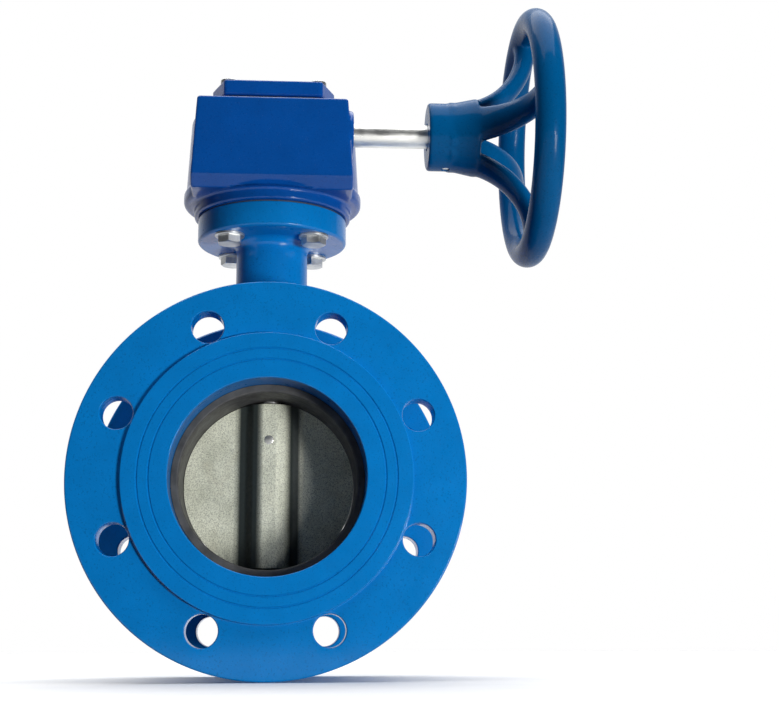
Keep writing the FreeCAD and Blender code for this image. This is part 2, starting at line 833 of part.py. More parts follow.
def cut_housing(body):
    """Everything cut into the gearbox casting."""
    # chamber, left solid around the worm's bearings
    chamber = new_sketch(body, "XY_Plane", "dims.chamber_floor")
    ring(chamber, "0", "0", "dims.chamber_radius")
    extrude(body, chamber, "dims.chamber_roof - dims.chamber_floor", "Pocket", reverse=True)
    for side in (1, -1):
        near_edge = f"{side} * dims.bearing_block_inner"
        far_edge = f"{side} * dims.chamber_radius"
        bearing = outline(
            new_sketch(body, "XY_Plane", "dims.chamber_floor - 1"),
            [
                (near_edge, "-dims.bearing_block_back"),
                (near_edge, "-dims.front_face + 1"),
                (far_edge, "-dims.front_face + 1"),
                (far_edge, "-dims.bearing_block_back"),
            ],
        )
        extrude(body, bearing, "dims.bearing_block_top - dims.chamber_floor + 1")
    opening = ring(new_sketch(body, "XY_Plane", "dims.chamber_floor"), "0", "0", "dims.deck_opening_radius")
    extrude(body, opening, "dims.land_top - dims.chamber_floor + 1", "Pocket", reverse=True)
    # tunnel for the worm, bearing bores on both sides and the gland's bore to the right
    axis = ("-dims.centre_distance", "dims.worm_level")
    tunnel = ring(new_sketch(body, "YZ_Plane"), *axis, "dims.tunnel_radius")
    extrude(body, tunnel, "2 * dims.bearing_block_inner", "Pocket", both=True)
    right = ring(new_sketch(body, "YZ_Plane"), *axis, "dims.bush_radius + dims.fit_gap")
    extrude(body, right, "dims.skirt_radius", "Pocket", reverse=True)
    left = ring(new_sketch(body, "YZ_Plane"), *axis, "dims.bush_radius + dims.fit_gap")
    extrude(body, left, "dims.blind_end", "Pocket")
    gland = ring(
        new_sketch(body, "YZ_Plane", "dims.bush_end"), *axis, "dims.gland_bore_radius + dims.fit_gap"
    )
    extrude(body, gland, "dims.skirt_radius - dims.bush_end", "Pocket", reverse=True)
    # stem hole, tapped holes in the foot and the deck, threads of the stop screws
    stem_hole = ring(new_sketch(body, "XY_Plane", "dims.housing_foot"), "0", "0", "dims.stem_hole_radius")
    extrude(body, stem_hole, "dims.chamber_floor", "Pocket", reverse=True)
    foot_spot = "dims.pad_bolt_circle / sqrt(8)"
    foot_hole = ring(
        new_sketch(body, "XY_Plane", "dims.housing_foot"),
        foot_spot,
        foot_spot,
        "dims.mounting_bolt_radius + dims.fit_gap",
    )
    foot_cut = extrude(body, foot_hole, "dims.tapped_depth", "Pocket", reverse=True)
    polar_copies(body, [foot_cut], "4")
    deck_spot = "dims.cover_screw_circle / sqrt(8)"
    deck_hole = ring(
        new_sketch(body, "XY_Plane", "dims.land_top"),
        deck_spot,
        deck_spot,
        "dims.cover_screw_radius + dims.fit_gap",
    )
    deck_cut = extrude(body, deck_hole, "dims.land_top - dims.cover_screw_end + 0.5", "Pocket")
    polar_copies(body, [deck_cut], "4")
    for side in ("", "-"):
        stop = ring(
            new_sketch(body, "XZ_Plane", "-dims.stop_boss_end"),
            f"{side}dims.stop_offset",
            "dims.worm_level",
            "dims.stop_radius + dims.fit_gap",
        )
        extrude(body, stop, "dims.stop_boss_end - dims.stop_tip", "Pocket", reverse=True)


def make_cover():
    """Gasket and cover over the chamber, with the pointer's seal and four screws."""
    spot = "dims.cover_screw_circle / sqrt(8)"
    gasket = new_body("cover_gasket")
    plan = outline(new_sketch(gasket, "XY_Plane", "dims.land_top"), cover_corners("dims.land_inset"))
    extrude(gasket, plan, "dims.cover_gasket_top - dims.land_top")
    opening = ring(new_sketch(gasket, "XY_Plane", "dims.land_top"), "0", "0", "dims.deck_opening_radius")
    extrude(gasket, opening, "2 * (dims.cover_gasket_top - dims.land_top)", "Pocket", reverse=True)
    hole = ring(new_sketch(gasket, "XY_Plane", "dims.land_top"), spot, spot, "dims.cover_screw_hole")
    cut = extrude(gasket, hole, "2 * (dims.cover_gasket_top - dims.land_top)", "Pocket", reverse=True)
    polar_copies(gasket, [cut], "4")

    cover = new_body("gearbox_cover")
    plan = outline(new_sketch(cover, "XY_Plane", "dims.cover_gasket_top"), cover_corners("0"))
    extrude(cover, plan, "dims.cover_top - dims.cover_gasket_top")
    hole = ring(new_sketch(cover, "XY_Plane", "dims.cover_top"), spot, spot, "dims.cover_screw_hole")
    cut = extrude(cover, hole, "2 * (dims.cover_top - dims.cover_gasket_top)", "Pocket")
    polar_copies(cover, [cut], "4")
    seal_low = "dims.pointer_seal_level - dims.pointer_seal_section"
    seal_high = "dims.pointer_seal_level + dims.pointer_seal_section"
    bore = "dims.spigot_radius + dims.running_gap"
    seal_outer = "dims.spigot_radius + 2 * dims.pointer_seal_section + 0.25"
    turn(
        cover,
        outline(
            new_sketch(cover, "XZ_Plane"),
            [
                ("0", "dims.cover_gasket_top - 1"),
                (bore, "dims.cover_gasket_top - 1"),
                (bore, seal_low),
                (seal_outer, seal_low),
                (seal_outer, seal_high),
                (bore, seal_high),
                (bore, "dims.cover_top + 1"),
                ("0", "dims.cover_top + 1"),
            ],
        ),
        kind="Groove",
    )
    seal = new_body("pointer_seal")
    turn(
        seal,
        ring(
            new_sketch(seal, "XZ_Plane"),
            "dims.spigot_radius + dims.pointer_seal_section + 0.15",
            "dims.pointer_seal_level",
            "dims.pointer_seal_section - dims.fit_gap",
        ),
    )
    screws = new_body("cover_screws")
    head = ring(new_sketch(screws, "XY_Plane", "dims.cover_top"), spot, spot, "dims.cover_screw_head_radius")
    screw_head = extrude(screws, head, "dims.cover_screw_head")
    round_bar = ring(
        new_sketch(screws, "XY_Plane", "dims.cover_screw_end"), spot, spot, "dims.cover_screw_radius"
    )
    screw_bar = extrude(screws, round_bar, "dims.cover_top - dims.cover_screw_end + 1")
    polar_copies(screws, [screw_head, screw_bar], "4")


def involute_point(base_radius, radius):
    """Polar angle of an involute at a radius, measured from its start on the base circle."""
    reach = math.sqrt(max(0.0, (radius / base_radius) ** 2 - 1))
    return reach - math.atan(reach)


def tooth_outline(centre_angle, thickness_angle, base_radius, radii):
    """One tooth from root to tip and back, as polar (radius, angle) pairs."""
    pitch_radius = size("gear_module") * size("gear_teeth") / 2
    at_pitch = involute_point(base_radius, pitch_radius)
    flank = [
        (radius, thickness_angle / 2 + at_pitch - involute_point(base_radius, radius))
        for radius in radii
    ]
    rising = [(radius, centre_angle - half) for radius, half in flank]
    falling = [(radius, centre_angle + half) for radius, half in flank[::-1]]
    return rising + falling


def make_worm_wheel():
    """The worm wheel: a hub on the stem's square, a toothed sector and the pointer's spigot."""
    module = size("gear_module")
    teeth = int(size("gear_teeth"))
    pitch_radius = module * teeth / 2
    root = pitch_radius - 1.25 * module
    tip = pitch_radius + module
    base = pitch_radius * math.cos(math.radians(20))
    flank_steps = 6
    radii = [root] + [base + (tip - base) * step / flank_steps for step in range(flank_steps + 1)]
    thickness_angle = (math.pi * module / 2 - size("tooth_backlash")) / pitch_radius
    tooth_step = 2 * math.pi / teeth
    # closed, the sector points 45 degrees away from the worm, which lies towards -Y;
    # a gap between two teeth is then centred on the worm
    middle = math.radians(-135)
    half = math.radians(size("sector_half_angle"))
    count = round(2 * half / tooth_step)
    polar = [(size("wheel_hub_radius") - 2, middle - half), (root, middle - half)]
    for number in range(count):
        centre = middle - half + (number + 0.5) * tooth_step
        polar += tooth_outline(centre, thickness_angle, base, radii)
    polar += [(root, middle + half), (size("wheel_hub_radius") - 2, middle + half)]
    # teeth lean with the worm's thread, whose lead is one tooth pitch per turn
    worm_radius = size("centre_distance") - pitch_radius
    lean = (module / 2 / worm_radius) * size("tooth_face_half") / pitch_radius
    wires = []
    for side in (-1, 1):
        level = size("worm_level") + side * size("tooth_face_half")
        points = [
            FreeCAD.Vector(r * math.cos(a - side * lean), r * math.sin(a - side * lean), level)
            for r, a in polar
        ]
        wires.append(Part.makePolygon(points + points[:1]))
    sector = Part.makeLoft(wires, True, True)
    low = size("wheel_hub_low")
    hub = Part.makeCylinder(
        size("wheel_hub_radius"), size("wheel_hub_high") - low, FreeCAD.Vector(0, 0, low)
    )
    spigot = Part.makeCylinder(
        size("spigot_radius"), size("spigot_top") - low - 1, FreeCAD.Vector(0, 0, low + 1)
    )
    side = size("stem_square") + 2 * size("wheel_square_gap")
    square_top = size("stem_top") + 0.5
    square = Part.makeBox(
        side, side, square_top - low + 1, FreeCAD.Vector(-side / 2, -side / 2, low - 1)
    )
    screw_hole = Part.makeCylinder(
        size("pointer_screw_radius") + size("fit_gap"),
        size("pointer_screw_depth") + 1,
        FreeCAD.Vector(0, 0, size("spigot_top") - size("pointer_screw_depth")),
    )
    wheel = doc.addObject("Part::Feature", "worm_wheel")
    wheel.Shape = hub.fuse([spigot, sector]).cut([square, screw_hole])
    place_on_stem(wheel)
    return listed(wheel, "worm_wheel")


def make_worm_shaft():
    """The worm and its shaft in one piece, from the blind bearing to the handwheel."""
    module = size("gear_module")
    lead = math.pi * module
    worm_radius = size("centre_distance") - module * size("gear_teeth") / 2
    root = worm_radius - 1.25 * module
    tip = worm_radius + module
    half_pitch_width = (lead / 2 - size("tooth_backlash")) / 2
    slope = math.tan(math.radians(20))
    buried = root - 0.3
    half_root = half_pitch_width + (worm_radius - buried) * slope
    half_tip = half_pitch_width - module * slope
    reach = size("thread_half_length")
    turns = math.ceil(2 * (reach + lead) / lead)
    start = -turns / 2 * lead
    # a crest of the thread faces the wheel at mid length: the helix starts a whole number of
    # half turns away, and the shaft's own X axis is turned to face the wheel below
    helix = Part.makeHelix(lead, turns * lead, worm_radius, 0, True)
    corners = [(buried, -half_root), (tip, -half_tip), (tip, half_tip), (buried, half_root)]
    points = [FreeCAD.Vector(r, 0, z) for r, z in corners]
    section = Part.makePolygon(points + points[:1])
    thread = Part.Wire(helix).makePipeShell([section], True, True)
    thread.translate(FreeCAD.Vector(0, 0, start))
    # +Y faces the wheel, and turns / 2 turns lead from the thread's start to mid length
    facing = 90 + (180 if turns % 2 else 0)
    thread.rotate(FreeCAD.Vector(0, 0, 0), FreeCAD.Vector(0, 0, 1), facing)
    up = FreeCAD.Vector(0, 0, 1)
    envelope = Part.makeCylinder(tip + 1, 2 * reach, FreeCAD.Vector(0, 0, -reach), up)
    thread = thread.common(envelope)
    core = Part.makeCylinder(root, 2 * reach + 1, FreeCAD.Vector(0, 0, -reach - 0.5), up)
    pieces = []
    for low, high, radius in (
        (-size("shaft_left_end"), -reach - 1, size("shaft_radius")),
        (reach + 1, size("shaft_right_end"), size("shaft_radius")),
        (-size("collar_end"), -reach, size("collar_radius")),
        (reach, size("collar_end"), size("collar_radius")),
    ):
        pieces.append(Part.makeCylinder(radius, high - low, FreeCAD.Vector(0, 0, low), up))
    solid = core.fuse([thread] + pieces).removeSplitter()
    pin_hole = Part.makeCylinder(
        size("wheel_pin_radius") + size("fit_gap"),
        4 * size("shaft_radius"),
        FreeCAD.Vector(-2 * size("shaft_radius"), 0, size("wheel_pin_level")),
        FreeCAD.Vector(1, 0, 0),
    )
    shaft = doc.addObject("Part::Feature", "worm_shaft")
    shaft.Shape = solid.cut(pin_hole)
    place_on_worm(shaft)
    return listed(shaft, "worm_shaft")


def make_worm_bearings():
    """Bushes, thrust washers, gland and seal around the worm shaft."""
    inner = "dims.shaft_radius + dims.running_gap"
    outer = "dims.bush_radius"
    block = "dims.bearing_block_inner"
    tube("worm_bush_blind", inner, outer, "-dims.bush_end", f"-{block}", place_on_worm)
    tube("worm_bush_drive", inner, outer, block, "dims.bush_end", place_on_worm)
    washers = new_body("thrust_washers", place_on_worm)
    for side in (1, -1):
        low = f"{side} * (dims.collar_end + dims.washer_gap)"
        high = f"{side} * ({block} - dims.washer_gap)"
        corners = [(inner, low), ("dims.washer_radius", low), ("dims.washer_radius", high), (inner, high)]
        turn(washers, outline(new_sketch(washers, "XZ_Plane"), corners))
    bore = "dims.gland_bore_radius"
    tube("worm_shaft_seal", inner, bore, "dims.bush_end", "dims.seal_end", place_on_worm)
    tube("worm_gland", inner, bore, "dims.seal_end", "dims.gland_end", place_on_worm)


def make_stops():
    """The two screws that stop the sector at closed and at open, with their lock nuts."""
    level = "dims.worm_level"
    screws = new_body("stop_screws")
    bar_sketch = new_sketch(screws, "XZ_Plane", "-dims.stop_end")
    bar = ring(bar_sketch, "dims.stop_offset", level, "dims.stop_radius")
    screw = extrude(screws, bar, "dims.stop_end - dims.stop_tip")
    mirror_copies(screws, [screw])
    nuts = new_body("stop_lock_nuts")
    face = new_sketch(nuts, "XZ_Plane", "-dims.stop_boss_end")
    hexagon(face, "dims.stop_offset", level, "dims.stop_nut_flats")
    ring(face, "dims.stop_offset", level, "dims.stop_radius + dims.fit_gap")
    nut = extrude(nuts, face, "dims.stop_nut_height", reverse=True)
    mirror_copies(nuts, [nut])


def make_pointer():
    """The pointer on the worm wheel's spigot, lying along the disc, and its screw."""
    pointer = new_body("position_pointer")
    tip = "dims.pointer_radius"
    neck = "dims.pointer_neck"
    arrow = outline(
        new_sketch(pointer, "XY_Plane", "dims.spigot_top"),
        [
            (tip, "0"),
            (f"{tip} / 2", f"1.6 * {neck}"),
            (f"{tip} / 2", neck),
            (f"-{tip}", neck),
            (f"-{tip}", f"-{neck}"),
            (f"{tip} / 2", f"-{neck}"),
            (f"{tip} / 2", f"-1.6 * {neck}"),
        ],
    )
    extrude(pointer, arrow, "dims.pointer_thickness")
    hole = ring(
        new_sketch(pointer, "XY_Plane", "dims.spigot_top"), "0", "0", "dims.pointer_screw_radius + 0.1"
    )
    extrude(pointer, hole, "2 * dims.pointer_thickness", "Pocket", reverse=True)
    seat = "dims.spigot_top + dims.pointer_thickness"
    turned(
        "pointer_screw",
        [
            ("0", "dims.spigot_top - dims.pointer_screw_depth + 0.5"),
            ("dims.pointer_screw_radius", "dims.spigot_top - dims.pointer_screw_depth + 0.5"),
            ("dims.pointer_screw_radius", seat),
            ("dims.pointer_screw_head_radius", seat),
            ("dims.pointer_screw_head_radius", f"{seat} + dims.pointer_screw_head"),
            ("0", f"{seat} + dims.pointer_screw_head"),
        ],
    )


def make_handwheel():
    """The cast handwheel: a flared hub, four spokes bent like a tulip, and a round rim."""
    wheel = turned(
        "handwheel",
        [
            ("0", "dims.wheel_hub_start"),
            ("dims.wheel_hub_outer", "dims.wheel_hub_start"),
            ("dims.wheel_hub_outer", "dims.wheel_flare_start"),
            ("dims.wheel_flare_radius", "dims.wheel_flare_end"),
            ("dims.wheel_back_radius", "dims.wheel_back"),
            ("0", "dims.wheel_eye"),
        ],
        place_on_worm,
    )
    # a spoke is a quarter of a ring: it leaves the hub along the axis and meets the rim square on.
    # Its hinge line is the third construction line, after the oval's own two.
    section = new_sketch(wheel, "XY_Plane", "dims.wheel_plane - dims.spoke_bend")
    section.setExpression("AttachmentOffset.Rotation.Angle", "dims.spoke_turn")
    oval(section, "dims.spoke_start_radius", "dims.spoke_half_width", "dims.spoke_half_thickness")
    centre = size("spoke_start_radius") + size("spoke_bend")
    foot = FreeCAD.Vector(centre, 0, 0)
    hinge = section.addGeometry(Part.LineSegment(foot, FreeCAD.Vector(centre, 10, 0)), True)
    pin_point(section, hinge, 1, "dims.spoke_start_radius + dims.spoke_bend", "0")
    pin_point(section, hinge, 2, "dims.spoke_start_radius + dims.spoke_bend", "10")
    spoke = turn(wheel, section, axis="Axis2", angle=90)
    polar_copies(wheel, [spoke], "dims.spoke_count")
    turn(
        wheel,
        ring(new_sketch(wheel, "XZ_Plane"), "dims.rim_radius", "dims.wheel_plane", "dims.rim_section"),
    )
    bore = ring(
        new_sketch(wheel, "XY_Plane", "dims.wheel_hub_start"), "0", "0", "dims.shaft_radius + dims.fit_gap"
    )
    extrude(wheel, bore, "dims.wheel_back", "Pocket", reverse=True)
    pin = ring(
        new_sketch(wheel, "YZ_Plane"), "0", "dims.wheel_pin_level", "dims.wheel_pin_radius + dims.fit_gap"
    )
    extrude(wheel, pin, "3 * dims.wheel_hub_outer", "Pocket", both=True)
    pin_body = new_body("handwheel_pin", place_on_worm)
    bar = ring(new_sketch(pin_body, "YZ_Plane"), "0", "dims.wheel_pin_level", "dims.wheel_pin_radius")
    extrude(pin_body, bar, "2 * dims.wheel_pin_half_length", both=True)


make_valve_body()
make_seat_liner()
make_disc()
make_disc_pin()
make_stem()
make_stem_bearings()
make_bottom_plug()
make_operator_mounting()
make_gearbox_housing()
make_cover()
make_worm_wheel()
make_worm_shaft()
make_worm_bearings()
make_stops()
make_pointer()
make_handwheel()
doc.recompute()

for item in doc.Objects:
    if "Invalid" in item.State or "Error" in item.State:
        raise RuntimeError(f"{item.Name} is in state {item.State}")
for item in parts:
    if item.Shape.isNull() or not item.Shape.isValid():
        raise RuntimeError(f"{item.Label} has no valid shape")

os.makedirs("parts", exist_ok=True)
for item in parts:
    item.Shape.exportStep(f"parts/{item.Label}.step")
    box = item.Shape.BoundBox
    print(
        f"{item.Label}: {len(item.Shape.Solids)} solids, {item.Shape.Volume / 1000:.1f} cm3, "
        f"x {box.XMin:.1f}..{box.XMax:.1f}, y {box.YMin:.1f}..{box.YMax:.1f}, "
        f"z {box.ZMin:.1f}..{box.ZMax:.1f}"
    )
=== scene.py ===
"""Looks for the worm-geared, double-flanged butterfly valve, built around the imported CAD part.

Shapes are in millimetres until they reach Blender, and every turned shape is a
(radius, level, rounding) profile around its own Z axis. Lamps and camera are in metres.
"""
import math

import bmesh
import bpy
from mathutils import Matrix, Vector


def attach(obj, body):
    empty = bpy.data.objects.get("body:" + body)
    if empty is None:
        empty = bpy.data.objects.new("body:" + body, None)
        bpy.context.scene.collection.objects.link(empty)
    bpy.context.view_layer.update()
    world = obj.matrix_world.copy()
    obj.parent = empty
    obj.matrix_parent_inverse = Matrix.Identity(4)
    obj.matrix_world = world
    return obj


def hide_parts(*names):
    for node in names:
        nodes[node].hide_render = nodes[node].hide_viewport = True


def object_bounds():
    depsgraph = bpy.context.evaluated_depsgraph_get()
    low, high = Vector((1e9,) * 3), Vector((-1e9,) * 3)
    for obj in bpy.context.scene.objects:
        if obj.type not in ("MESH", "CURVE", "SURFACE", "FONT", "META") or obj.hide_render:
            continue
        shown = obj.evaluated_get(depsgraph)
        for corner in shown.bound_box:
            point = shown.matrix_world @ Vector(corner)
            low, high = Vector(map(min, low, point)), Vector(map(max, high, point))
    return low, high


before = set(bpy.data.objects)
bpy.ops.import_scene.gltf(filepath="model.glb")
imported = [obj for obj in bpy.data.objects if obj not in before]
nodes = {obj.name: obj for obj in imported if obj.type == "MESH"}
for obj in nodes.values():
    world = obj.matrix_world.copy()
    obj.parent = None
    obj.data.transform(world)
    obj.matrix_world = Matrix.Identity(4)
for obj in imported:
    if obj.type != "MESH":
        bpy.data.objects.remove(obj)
cad_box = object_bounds()

MM = 0.001
HALF_LENGTH = 63.5
STEM_Y = HALF_LENGTH
WORM_Y = 29.0
WORM_Z = 207.0
ROUND = 2 * math.pi
NOTHING = 1e-6
EDGE_STEPS = 3

stem_axis = Matrix.Translation((0, STEM_Y * MM, 0))
pipe_axis = stem_axis @ Matrix.Rotation(math.radians(-90), 4, "X")
worm_axis = Matrix.Translation((0, WORM_Y * MM, WORM_Z * MM)) @ Matrix.Rotation(
    math.radians(90), 4, "Y"
)


# ---------------------------------------------------------------- mesh helpers


def new_piece(name, mesh):
    """A mesh as an object of the scene."""
    piece = bpy.data.objects.new(name, mesh)
    bpy.context.scene.collection.objects.link(piece)
    return piece


def mesh_from(builder, name, place):
    """Finish a bmesh in millimetres as a piece in metres, placed on its axis."""
    bmesh.ops.recalc_face_normals(builder, faces=builder.faces)
    mesh = bpy.data.meshes.new(name)
    builder.to_mesh(mesh)
    builder.free()
    mesh.transform(place @ Matrix.Scale(MM, 4))
    return new_piece(name, mesh)


def rounded(corners, closed, steps=5):
    """Round the corners of a path given as (across, up, rounding radius)."""
    count = len(corners)
    path = []
    for index, (across, up, radius) in enumerate(corners):
        here = Vector((across, up))
        at_end = not closed and index in (0, count - 1)
        if radius <= 0 or at_end:
            path.append(here)
            continue
        before = Vector(corners[index - 1][:2]) - here
        after = Vector(corners[(index + 1) % count][:2]) - here
        half = before.angle(after) / 2
        reach = min(radius / math.tan(half), 0.49 * before.length, 0.49 * after.length)
        radius = reach * math.tan(half)
        before.normalize()
        after.normalize()
        centre = here + (before + after).normalized() * radius / math.sin(half)
        start = here + before * reach - centre
        end = here + after * reach - centre
        sweep = start.angle_signed(end)
        for step in range(steps + 1):
            turn = -sweep * step / steps
            turned = (
                start.x * math.cos(turn) - start.y * math.sin(turn),
                start.x * math.sin(turn) + start.y * math.cos(turn),
            )
            path.append(centre + Vector(turned))
    return path


def lathe(name, corners, place=stem_axis, sides=192, closed=False):
    """A turned piece. An open profile starts and ends on the axis, a closed one makes a ring."""
    path = rounded(corners, closed)
    builder = bmesh.new()
    rings = []
    for point in path:
        if point.x < NOTHING:
            rings.append([builder.verts.new((0, 0, point.y))])
            continue
        ring = []
        for side in range(sides):
            angle = ROUND * side / sides
            spot = (point.x * math.cos(angle), point.x * math.sin(angle), point.y)
            ring.append(builder.verts.new(spot))
        rings.append(ring)
    pairs = list(zip(rings, rings[1:]))
    if closed:
        pairs.append((rings[-1], rings[0]))
    for low, high in pairs:
        for side in range(sides):
            following = (side + 1) % sides
            if len(low) == 1 and len(high) == 1:
                continue
            if len(low) == 1:
                builder.faces.new((low[0], high[side], high[following]))
            elif len(high) == 1:
                builder.faces.new((low[side], high[0], low[following]))
            else:
                builder.faces.new((low[side], high[side], high[following], low[following]))
    return mesh_from(builder, name, place)


def prism(name, corners, low, high, place=stem_axis, edge=0.0):
    """An outline in the piece's own XY plane, extruded from low to high with rounded edges."""
    path = rounded(corners, True)
    builder = bmesh.new()
    bottom = builder.faces.new([builder.verts.new((p.x, p.y, low)) for p in path])
    top = bmesh.ops.extrude_face_region(builder, geom=[bottom])["geom"]
    moved = [item for item in top if isinstance(item, bmesh.types.BMVert)]
    bmesh.ops.translate(builder, verts=moved, vec=(0, 0, high - low))
    bmesh.ops.recalc_face_normals(builder, faces=builder.faces)
    if edge > 0:
        level_edges = [
            item for item in builder.edges
            if abs(item.verts[0].co.z - item.verts[1].co.z) < NOTHING
        ]
        bmesh.ops.bevel(
            builder, geom=level_edges, offset=edge, segments=EDGE_STEPS, profile=0.5, affect="EDGES"
        )
    return mesh_from(builder, name, place)


def sweep(name, stations, place, sides=48):
    """An oval bar through stations given as (centre, direction, half thickness, half width)."""
    builder = bmesh.new()
    rings = []
    for centre, direction, thickness, width in stations:
        turn = Vector((0, 0, 1)).rotation_difference(direction).to_matrix()
        ring = []
        for side in range(sides):
            angle = ROUND * side / sides
            spot = Vector((thickness * math.cos(angle), width * math.sin(angle), 0))
            ring.append(builder.verts.new(centre + turn @ spot))
        rings.append(ring)
    for low, high in zip(rings, rings[1:]):
        for side in range(sides):
            following = (side + 1) % sides
            builder.faces.new((low[side], high[side], high[following], low[following]))
    builder.faces.new(rings[0])
    builder.faces.new(rings[-1])
    return mesh_from(builder, name, place)


def settle(piece):
    """Replace a piece's mesh by what its modifiers make of it."""
    bpy.context.view_layer.update()
    graph = bpy.context.evaluated_depsgraph_get()
    made = bpy.data.meshes.new_from_object(piece.evaluated_get(graph))
    piece.modifiers.clear()
    old = piece.data
    piece.data = made
    bpy.data.meshes.remove(old)


def combine(piece, tools, operation):
    """Join tools to a piece, cut them out of it or trim it by them, and drop them."""
    for tool in tools:
        step = piece.modifiers.new("combine", "BOOLEAN")
        step.operation = operation
        step.solver = "EXACT"
        step.object = tool
        settle(piece)
        drop(tool)
    return piece


def drop(piece):
    """Delete a piece and its mesh."""
    mesh = piece.data
    bpy.data.objects.remove(piece)
    bpy.data.meshes.remove(mesh)


def add(piece, *tools):
    """Join tools to a piece."""
    return combine(piece, tools, "UNION")


def cut(piece, *tools):
    """Cut tools out of a piece."""
    return combine(piece, tools, "DIFFERENCE")


def joined(name, pieces):
    """Several loose shapes as one piece."""
    builder = bmesh.new()
    for piece in pieces:
        builder.from_mesh(piece.data)
        drop(piece)
    mesh = bpy.data.meshes.new(name)
    builder.to_mesh(mesh)
    builder.free()
    return new_piece(name, mesh)


def copies(piece, turns):
    """Copies of a piece under the given matrices, joined under its name. The piece itself goes."""
    name = piece.name
    shapes = []
    for turn in turns:
        mesh = piece.data.copy()
        mesh.transform(turn)
        shapes.append(new_piece("shape", mesh))
    drop(piece)
    return joined(name, shapes)


def around(place, angles):
    """Turns about the Z axis of a placement, by angles in degrees."""
    back = place.inverted()
    return [place @ Matrix.Rotation(math.radians(angle), 4, "Z") @ back for angle in angles]


def cast_skin(piece, voxel, passes):
    """Melt a piece's shapes into one skin with small fillets, as a casting has."""
    melt = piece.modifiers.new("melt", "REMESH")
    melt.mode = "VOXEL"
    melt.voxel_size = voxel * MM
    melt.use_smooth_shade = True
    soften = piece.modifiers.new("soften", "SMOOTH")
    soften.factor = 0.5
    soften.iterations = passes
    settle(piece)
    return piece


def finish(piece, body, material, replaced, sharp=40):
    """Shade a piece, give it its material and hang it on its body."""
    mesh = piece.data
    mesh.materials.clear()
    mesh.materials.append(material)
    mesh.polygons.foreach_set("material_index", [0] * len(mesh.polygons))
    mesh.shade_smooth()
    mesh.set_sharp_from_angle(angle=math.radians(sharp))
    even = piece.modifiers.new("even", "WEIGHTED_NORMAL")
    even.keep_sharp = True
    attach(piece, body)
    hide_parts(*replaced)


# ---------------------------------------------------------------- materials


class Shader:
    """A small builder for procedural materials that vary in object space."""

    def __init__(self, name):
        self.material = bpy.data.materials.new(name)
        self.material.use_nodes = True
        self.tree = self.material.node_tree
        self.surface = self.tree.nodes["Principled BSDF"]
        self.where = self.tree.nodes.new("ShaderNodeTexCoord").outputs["Object"]

    def link(self, source, target):
        """Connect an output to an input."""
        self.tree.links.new(source, target)

    def noise(self, per_metre, detail=3.0, rough=0.55, stretch=None):
        """A noise value, at a scale per metre and stretched if asked."""
        node = self.tree.nodes.new("ShaderNodeTexNoise")
        node.inputs["Scale"].default_value = per_metre
        node.inputs["Detail"].default_value = detail
        node.inputs["Roughness"].default_value = rough
        if stretch:
            mapping = self.tree.nodes.new("ShaderNodeMapping")
            mapping.inputs["Scale"].default_value = stretch
            self.link(self.where, mapping.inputs["Vector"])
            self.link(mapping.outputs["Vector"], node.inputs["Vector"])
        else:
            self.link(self.where, node.inputs["Vector"])
        return node.outputs["Fac"]

    def across(self, reach):
        """Place along x, from 0 at minus the reach in millimetres to 1 at plus the reach."""
        split = self.tree.nodes.new("ShaderNodeSeparateXYZ")
        self.link(self.where, split.inputs["Vector"])
        share = self.tree.nodes.new("ShaderNodeMapRange")
        share.inputs["From Min"].default_value = -reach * MM
        share.inputs["From Max"].default_value = reach * MM
        self.link(split.outputs["X"], share.inputs["Value"])
        return share.outputs["Result"]

    def ramp(self, value, stops):
        """Map a value to colours or greys at stops (position, colour)."""
        node = self.tree.nodes.new("ShaderNodeValToRGB")
        ramp = node.color_ramp
        while len(ramp.elements) < len(stops):
            ramp.elements.new(0.5)
        for element, (position, colour) in zip(ramp.elements, stops):
            element.position = position
            if isinstance(colour, (int, float)):
                colour = (colour, colour, colour)
            element.color = (*colour, 1)
        self.link(value, node.inputs["Fac"])
        return node.outputs["Color"]

    def mix(self, factor, first, second, kind="MIX"):
        """Blend two colours, each given as a colour or as an output."""
        node = self.tree.nodes.new("ShaderNodeMix")
        node.data_type = "RGBA"
        node.blend_type = kind
        for socket, value in ((0, factor), (6, first), (7, second)):
            if isinstance(value, bpy.types.NodeSocket):
                self.link(value, node.inputs[socket])
            elif socket == 0:
                node.inputs[0].default_value = value
            else:
                node.inputs[socket].default_value = (*value, 1)
        return node.outputs[2]

    def bumps(self, layers):
        """Stack bumps given as (height, strength, distance in millimetres)."""
        normal = None
        for height, strength, distance in layers:
            node = self.tree.nodes.new("ShaderNodeBump")
            node.inputs["Strength"].default_value = strength
            node.inputs["Distance"].default_value = distance * MM
            self.link(height, node.inputs["Height"])
            if normal:
                self.link(normal, node.inputs["Normal"])
            normal = node.outputs["Normal"]
        self.link(normal, self.surface.inputs["Normal"])

    def set(self, **values):
        """Set inputs of the surface by name, with _ for each space."""
        for name, value in values.items():
            socket = self.surface.inputs[name.replace("_", " ")]
            if isinstance(value, bpy.types.NodeSocket):
                self.link(value, socket)
            elif isinstance(value, tuple):
                socket.default_value = (*value, 1)
            else:
                socket.default_value = value


def scaled(colour, factor):
    """A colour with each of its channels multiplied."""
    return tuple(channel * factor for channel in colour)


